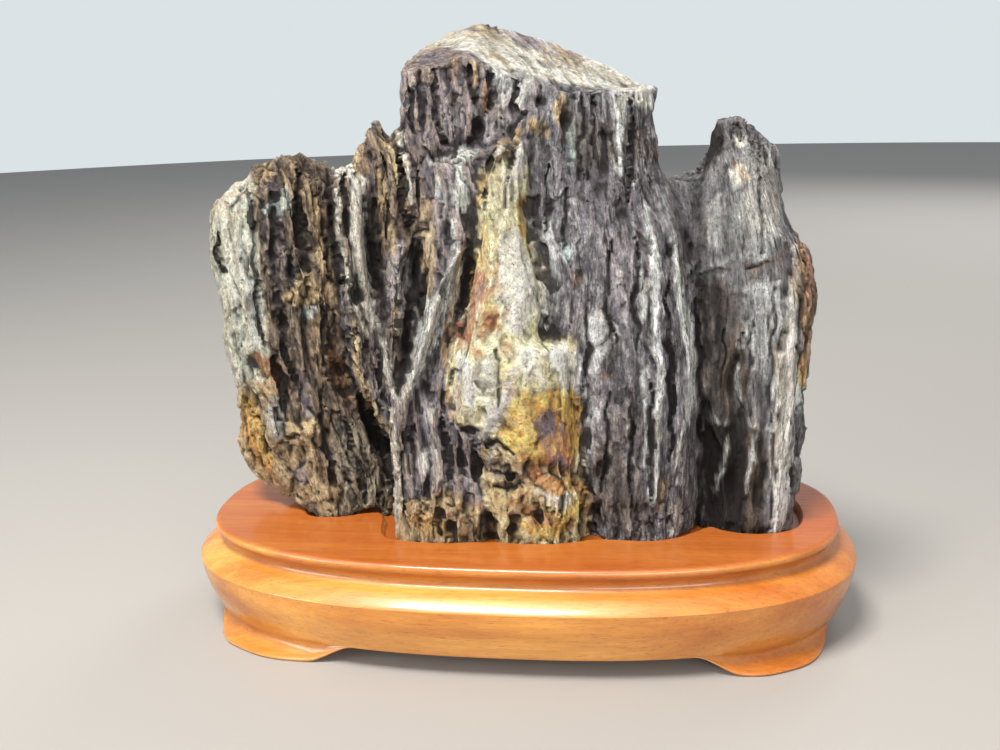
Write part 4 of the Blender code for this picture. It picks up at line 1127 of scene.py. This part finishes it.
# Tints that the grains multiply in; the pores' darkening is painted shade in small sunk specks
rockTints = {"pores": (0.52, 0.46, 0.42), "stain": (0.84, 0.72, 0.58), "gaps": (0.42, 0.36, 0.33)}
rockBumps = [
    ("fibre", 0.0012, 1.0), ("crumb", 0.0018, 1.0), ("gaps", -0.0012, 1.0), ("pores", -0.0007, 0.9),
]


def makeRockMaterial():
    material, tree, shader = newMaterial("layeredRock")
    run, body, flakes, fibrous = (
        addNode(tree, "ShaderNodeAttribute", attribute_name=name).outputs[kind]
        for name, kind in (("layerRun", "Vector"), ("rockColour", "Color"),
                           ("flakeColour", "Color"), ("fibrous", "Fac")))
    grains = addGrains(tree, run, rockGrains)
    longShare = addMath(tree, "MULTIPLY", grains["longFlakes"], fibrous)
    granular = addMath(tree, "SUBTRACT", 1.0, fibrous)
    roundShare = addMath(tree, "MULTIPLY", grains["roundFlakes"], granular)
    colour = addMix(tree, "MIX", longShare, body, flakes)
    colour = addMix(tree, "MIX", roundShare, colour, flakes)
    colour = addMix(tree, "MULTIPLY", fibrous, colour, grains["fibre"])
    colour = addMix(tree, "MULTIPLY", 1.0, colour, grains["crumb"])
    gapShare = addMath(tree, "MULTIPLY", grains["gaps"], fibrous)
    # The pores lay painted shade in small sunk specks
    for name, share in (("pores", grains["pores"]), ("stain", grains["stain"]), ("gaps", gapShare)):
        colour = addMix(tree, "MULTIPLY", share, colour, srgb(*rockTints[name]))
    tree.links.new(colour, shader.inputs["Base Color"])
    tree.links.new(grains["sheen"], shader.inputs["Roughness"])
    shader.inputs["Specular IOR Level"].default_value = 0.35
    addBumps(tree, grains, rockBumps, shader.inputs["Normal"])
    return material


def makeStone():
    parts = [loftMass(name, levels) for name, levels in masses.items()]
    tower = next(part for part in parts if part.name == "tower")
    for (x, z), depth, slopeRight, slopeBack in topCuts:
        cutAway(tower, carry(x, z, depth), Vector((-slopeRight, -slopeBack, 1.0)).normalized())
    pick(tower)
    for part in parts:
        part.select_set(True)
    bpy.ops.object.join()
    stone = bpy.context.object
    stone.name = stone.data.name = "layeredStone"
    print("stone masses joined")
    voxelRemesh(stone, stoneMake["firstVoxel"])
    carveFront(stone.data, slots, ribs)
    voxelRemesh(stone, stoneMake["firstVoxel"])
    striate(stone.data)
    voxelRemesh(stone, stoneMake["fineVoxel"])
    carveFront(stone.data, cracks, [])
    print("stone relief on", len(stone.data.vertices), "points")
    flake(stone.data)
    thin = stone.modifiers.new("thin", "DECIMATE")
    thin.ratio = min(1.0, stoneMake["triangles"] / (2 * len(stone.data.polygons)))
    applyAll(stone)
    cutAway(stone, Vector((0, 0, stoneFoot)), Vector((0, 0, -1)))
    liftOffStand(stone.data)
    stone.data.shade_smooth()
    stone.data.set_sharp_from_angle(angle=stoneMake["crispAngle"])
    paintStone(stone.data)
    stone.data.materials.append(makeRockMaterial())
    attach(stone, "root")
    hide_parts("stone")
    print("stone", len(stone.data.polygons), "faces")


# Stand: sizes in millimetres
standMake = {
    "lipHalfLength": 141.5, "lipHalfWidth": 74.9, "squareness": 2.52, "steps": 360, "topRing": 30.0,
    "wall": 15.0, "underside": 10.5, "seatDepth": 4.0, "footRoot": 38.5, "apronEdge": 0.14,
    "footMiddle": (113.0, 53.5), "leftFeetInwards": (30.0, 52.0), "rightFeetInwards": (17.0, 37.0),
    "feetEndwards": (21.0, 38.0), "crispAngle": 0.6,
    # stain: share of the deeper tone by height: darker towards the bottom, painted shade in the
    # cove and in a dark band 4 mm down at the seat's floor, and on the top partly the wood's deeper
    # stain, partly painted reflection of the dark stone
    "stain": [(0.0, 0.35), (0.14, 0.25), (0.22, 0.0), (0.78, 0.0), (0.85, 0.4), (0.905, 0.3),
              (0.917, 0.9), (0.93, 0.2), (0.975, 0.0), (0.995, 0.75)],
}

# Edge and foot in section, as steps out and up from the lip, and the seat in plan
standOutlines = dict(readTable("""
edge: -1.6 0, -0.5 -0.05, 0.3 -0.45, 0.8 -1.1, 1 -1.9, 0.9 -3, 0.2 -4, -1 -5, -1.9 -6.1, -2.4 -7.3,
  -2.3 -8.5, -1.6 -9.6, -0.2 -10.4, 1.4 -10.9, 3 -11.5, 4.5 -12.4, 6.2 -13.6, 7.6 -14.8,
  8.7 -15.8, 9 -16.3, 8.9 -17, 8.6 -18.6, 8.3 -20.8, 7.9 -23, 7.2 -25.5, 6.4 -28, 5.4 -30.5,
  4.4 -33, 3.2 -35.8, 1.9 -38.5
foot: 0.9 -39.8, -0.2 -41.2, -0.3 -42.4, 0.2 -43.4, 1.3 -44.4, 2.8 -45.2, 4.8 -45.8, 6.8 -46.2,
  8.2 -46.6, 8.7 -47, 8.5 -47.6, 7.7 -47.9, 6.8 -48
seat: -100 -4, -99 -17, -92 -22, -80 -21, -70 -15, -61 -14, -58 -36, -53 -46, -42 -48, -26 -49,
  -12 -46, 4 -47, 18 -47, 28 -44, 36 -40, 48 -40, 60 -41, 72 -36, 80 -28, 86 -21, 92 -27,
  104 -30, 116 -27, 124 -21, 127 -6, 126 12, 118 26, 100 34, 80 38, 40 43, 0 46, -30 41,
  -60 28, -86 26, -97 16
"""))


# A point of the lip's outline and the outward direction there
def ovalPoint(angle):
    length, width = standMake["lipHalfLength"], standMake["lipHalfWidth"]
    squareness = standMake["squareness"]
    c, s = cos(angle), sin(angle)
    x = length * copysign(abs(c) ** (2.0 / squareness), c)
    y = width * copysign(abs(s) ** (2.0 / squareness), s)
    slopeX = copysign(abs(x / length) ** (squareness - 1), x) / length
    slopeY = copysign(abs(y / width) ** (squareness - 1), y) / width
    return Vector((x, y, 0.0)), Vector((slopeX, slopeY, 0.0)).normalized()


def ease(amount):
    amount = min(max(amount, 0.0), 1.0)
    return amount * amount * (3.0 - 2.0 * amount)


# How far down the foot reaches at a point of the outline, and how far its toe flares out
def footShare(point):
    middle = Vector(standMake["footMiddle"])
    away = (Vector((abs(point.x), abs(point.y))) - middle).length
    if abs(point.x) > middle.x:
        table, apron = standMake["feetEndwards"]
    else:
        table, apron = standMake["leftFeetInwards" if point.x < 0.0 else "rightFeetInwards"]
    return ease((apron - away) / (apron - table)), ease((apron - away) / (0.85 * apron))


# A round bar whose loops are pressed out to the stand's section, oval and feet
def turnStandBlank():
    lipWidth, root = standMake["lipHalfWidth"], standMake["footRoot"]
    edge, wall = standMake["apronEdge"], standMake["wall"]
    underside, ring = standMake["underside"] - standHeight, standMake["topRing"] - lipWidth
    section = [(ring, 0.0)] + standOutlines["edge"] + standOutlines["foot"]
    section += [(5.0 - wall, -48.0), (-wall, -43.0), (-wall - 1.0, underside), (ring, underside)]
    stand = extrudeBlank("carvedStand", standMake["steps"], len(section))
    for vert in stand.data.vertices:
        out, below = section[round(vert.co.z)][0], -section[round(vert.co.z)][1]
        point, outward = ovalPoint(atan2(vert.co.y, vert.co.x))
        if below > root + 0.1 and out > -wall - 0.5:
            reach, flare = footShare(point)
            below = root + (below - root) * (edge + (1.0 - edge) * reach)
            out *= flare if out > 0.0 else 1.0
        spot = point + outward * out if out > -wall - 2.0 else point * (1.0 + out / lipWidth)
        vert.co = Vector((spot.x, spot.y, standHeight - below)) * mm
    tidyNormals(stand)
    return stand


# Round a plan outline by cutting its corners
def smoothLoop(corners, rounds=3):
    loop = [Vector(corner) for corner in corners]
    for _ in range(rounds):
        cut = []
        for first, second in zip(loop, loop[1:] + loop[:1]):
            cut += [first.lerp(second, 0.25), first.lerp(second, 0.75)]
        loop = cut
    return loop


# The seat's pocket, a little wider at the lip than at its floor
def seatCutter():
    loop = smoothLoop(standOutlines["seat"])
    levels = [(-standMake["seatDepth"], -1.0), (-0.8, -0.2), (0.0, 0.7), (4.0, 1.6)]
    cutter = extrudeBlank("seatCutter", len(loop), len(levels))
    for vert in cutter.data.vertices:
        level, grow = levels[round(vert.co.z)]
        index = round(atan2(vert.co.y, vert.co.x) / (2 * pi) * len(loop)) % len(loop)
        along = (loop[(index + 1) % len(loop)] - loop[index - 1]).normalized()
        corner = loop[index] + Vector((along.y, -along.x)) * grow
        vert.co = Vector((corner.x, corner.y, standHeight + level)) * mm
    tidyNormals(cutter)
    return cutter


woodGrains = {
    "band": ((0.14, 1.0, 1.0), 60.0, 5.0, 0.55, 0.30, 0.70, 0.0, 1.0),
    "ruddy": ((0.35, 1.0, 1.0), 16.0, 3.0, 0.55, 0.52, 0.72, 0.0, 0.6),
    "fine": ((0.05, 1.0, 1.0), 700.0, 4.0, 0.6, 0.30, 0.70, 0.86, 1.10),
    "pores": ((0.10, 1.0, 1.0), 1900.0, 2.0, 0.5, 0.58, 0.72, 0.0, 0.5),
    "polish": ((0.05, 1.0, 1.0), 500.0, 3.0, 0.6, 0.30, 0.70, 0.32, 0.46),
}
# The stain tone serves as the wood's deeper stain and as painted shade and reflection
woodTones = {
    "darkHoney": (0.68, 0.39, 0.12), "paleHoney": (0.86, 0.61, 0.28), "stain": (0.575, 0.265, 0.07),
    "ruddy": (0.60, 0.28, 0.10), "pores": (0.66, 0.48, 0.34),
}


def makeWoodMaterial():
    material, tree, shader = newMaterial("honeyWood")
    place = addNode(tree, "ShaderNodeTexCoord").outputs["Object"]
    grains = addGrains(tree, place, woodGrains)
    tone = {name: srgb(*colour) for name, colour in woodTones.items()}
    honey = addMix(tree, "MIX", grains["band"], tone["darkHoney"], tone["paleHoney"])
    axes = addNode(tree, "ShaderNodeSeparateXYZ")
    tree.links.new(place, axes.inputs["Vector"])
    # By height, from the stain ramp: painted shade in the cove and at the seat's floor, and a
    # deeper top that is partly painted reflection of the stone
    level = addNode(tree, "ShaderNodeMapRange")
    level.inputs["From Max"].default_value = standHeight * mm
    tree.links.new(axes.outputs["Z"], level.inputs["Value"])
    stain = addNode(tree, "ShaderNodeValToRGB")
    ramp = stain.color_ramp.elements
    for index, (position, value) in enumerate(standMake["stain"]):
        stop = ramp[index] if index < 2 else ramp.new(position)
        stop.position, stop.color = position, (value, value, value, 1.0)
    tree.links.new(level.outputs["Result"], stain.inputs["Fac"])
    stainedAndShaded = addMix(tree, "MIX", stain.outputs["Color"], honey, tone["stain"])
    rightward = addNode(tree, "ShaderNodeMapRange")
    for label, value in (("From Min", 0.03), ("From Max", 0.15), ("To Max", 0.55)):
        rightward.inputs[label].default_value = value
    tree.links.new(axes.outputs["X"], rightward.inputs["Value"])
    ruddy = addMath(tree, "MAXIMUM", grains["ruddy"], rightward.outputs["Result"])
    warm = addMix(tree, "MIX", ruddy, stainedAndShaded, tone["ruddy"])
    lined = addMix(tree, "MULTIPLY", 1.0, warm, grains["fine"])
    pored = addMix(tree, "MULTIPLY", grains["pores"], lined, tone["pores"])
    tree.links.new(pored, shader.inputs["Base Color"])
    tree.links.new(grains["polish"], shader.inputs["Roughness"])
    shader.inputs["Coat Weight"].default_value = 0.5
    shader.inputs["Coat Roughness"].default_value = 0.12
    addBumps(tree, grains, [("fine", 0.00025, 0.35)], shader.inputs["Normal"])
    return material


def makeStand():
    stand = turnStandBlank()
    cutter = seatCutter()
    cut = stand.modifiers.new("seat", "BOOLEAN")
    cut.operation = "DIFFERENCE"
    cut.solver = "EXACT"
    cut.object = cutter
    applyAll(stand)
    bpy.data.objects.remove(cutter)
    stand.data.shade_smooth()
    stand.data.set_sharp_from_angle(angle=standMake["crispAngle"])
    stand.data.materials.clear()
    stand.data.materials.append(makeWoodMaterial())
    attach(stand, "root")
    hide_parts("stand")
    print("stand", len(stand.data.polygons), "faces")


# Plain soft studio. Each lamp: place, target, size, power, colour, and whether it glints
studio = {
    "floor": (0.58, 0.56, 0.535), "floorRadius": 3.2, "floorRoughness": 0.6,
    "backdrop": (0.86, 0.89, 0.90), "fill": (0.84, 0.92, 1.0), "fillStrength": 0.50,
    "lamps": {
        "ceilingPanel": ((-0.25, -0.55, 1.3), (0, 0, 0.1), (0.5, 0.32), 34, (1, 0.98, 0.95), True),
        "windowLeft": ((-1.2, -1.0, 0.7), (0, 0, 0.13), (0.7, 0.7), 14, (0.94, 0.97, 1.0), True),
        "rearFill": ((0.7, 1.5, 1.0), (0, 0, 0.12), (1.0, 0.8), 22, (0.97, 0.98, 1.0), False),
        "frontFill": ((0.6, -1.6, 0.7), (0, 0, 0.12), (1.0, 0.6), 17, (1.0, 0.98, 0.96), True),
    },
}

# The photograph's camera: 14.4 degrees down, 8.5 degrees to the right, slightly rolled, as radians
photoView = {"pitch": -0.25098, "turn": 0.14870, "roll": -0.03124, "sensor": 36.0, "lens": 43.2}


def makeFloor():
    radius = studio["floorRadius"]
    bpy.ops.mesh.primitive_circle_add(vertices=96, radius=radius, fill_type="NGON")
    floor = bpy.context.object
    floor.name = "paleFloor"
    material, tree, shader = newMaterial("palePaper")
    feed(tree, shader.inputs["Base Color"], srgb(*studio["floor"]))
    shader.inputs["Roughness"].default_value = studio["floorRoughness"]
    floor.data.materials.append(material)


def makeLight(name, place, target, size, power, colour, glossy):
    lamp = bpy.data.lights.new(name, "AREA")
    lamp.shape = "RECTANGLE"
    lamp.size, lamp.size_y = size
    lamp.energy = power
    lamp.color = colour
    item = bpy.data.objects.new(name, lamp)
    bpy.context.scene.collection.objects.link(item)
    item.location = place
    item.rotation_euler = (Vector(target) - Vector(place)).to_track_quat("-Z", "Y").to_euler()
    item.visible_glossy = glossy


def makeLights():
    bpy.context.scene.view_settings.view_transform = "Standard"
    world = bpy.data.worlds.new("softRoom")
    bpy.context.scene.world = world
    world.use_nodes = True
    tree = world.node_tree
    seen = tree.nodes["Background"]
    feed(tree, seen.inputs["Color"], srgb(*studio["backdrop"]))
    fill = tree.nodes.new("ShaderNodeBackground")
    feed(tree, fill.inputs["Color"], studio["fill"])
    fill.inputs["Strength"].default_value = studio["fillStrength"]
    choose = tree.nodes.new("ShaderNodeMixShader")
    sight = tree.nodes.new("ShaderNodeLightPath")
    tree.links.new(sight.outputs["Is Camera Ray"], choose.inputs["Fac"])
    tree.links.new(fill.outputs["Background"], choose.inputs[1])
    tree.links.new(seen.outputs["Background"], choose.inputs[2])
    tree.links.new(choose.outputs["Shader"], tree.nodes["World Output"].inputs["Surface"])
    for name, settings in studio["lamps"].items():
        makeLight(name, *settings)


def makeCamera():
    pitch, turn, roll, sensor, length = photoView.values()
    ahead = Vector((-sin(turn) * cos(pitch), cos(turn) * cos(pitch), sin(pitch)))
    level = Vector((cos(turn), sin(turn), 0.0))
    above = level.cross(ahead)
    right = level * cos(roll) + above * sin(roll)
    up = above * cos(roll) - level * sin(roll)
    lens = bpy.data.cameras.new("photoLens")
    lens.sensor_width = sensor
    lens.lens = length
    camera = bpy.data.objects.new("photoCamera", lens)
    bpy.context.scene.collection.objects.link(camera)
    turned = Matrix((right, up, -ahead)).transposed().to_4x4()
    camera.matrix_world = Matrix.Translation(eye * mm) @ turned
    bpy.context.scene.camera = camera


makeGrainGroup()
makeCamera()
makeFloor()
makeLights()
makeStand()
makeStone()
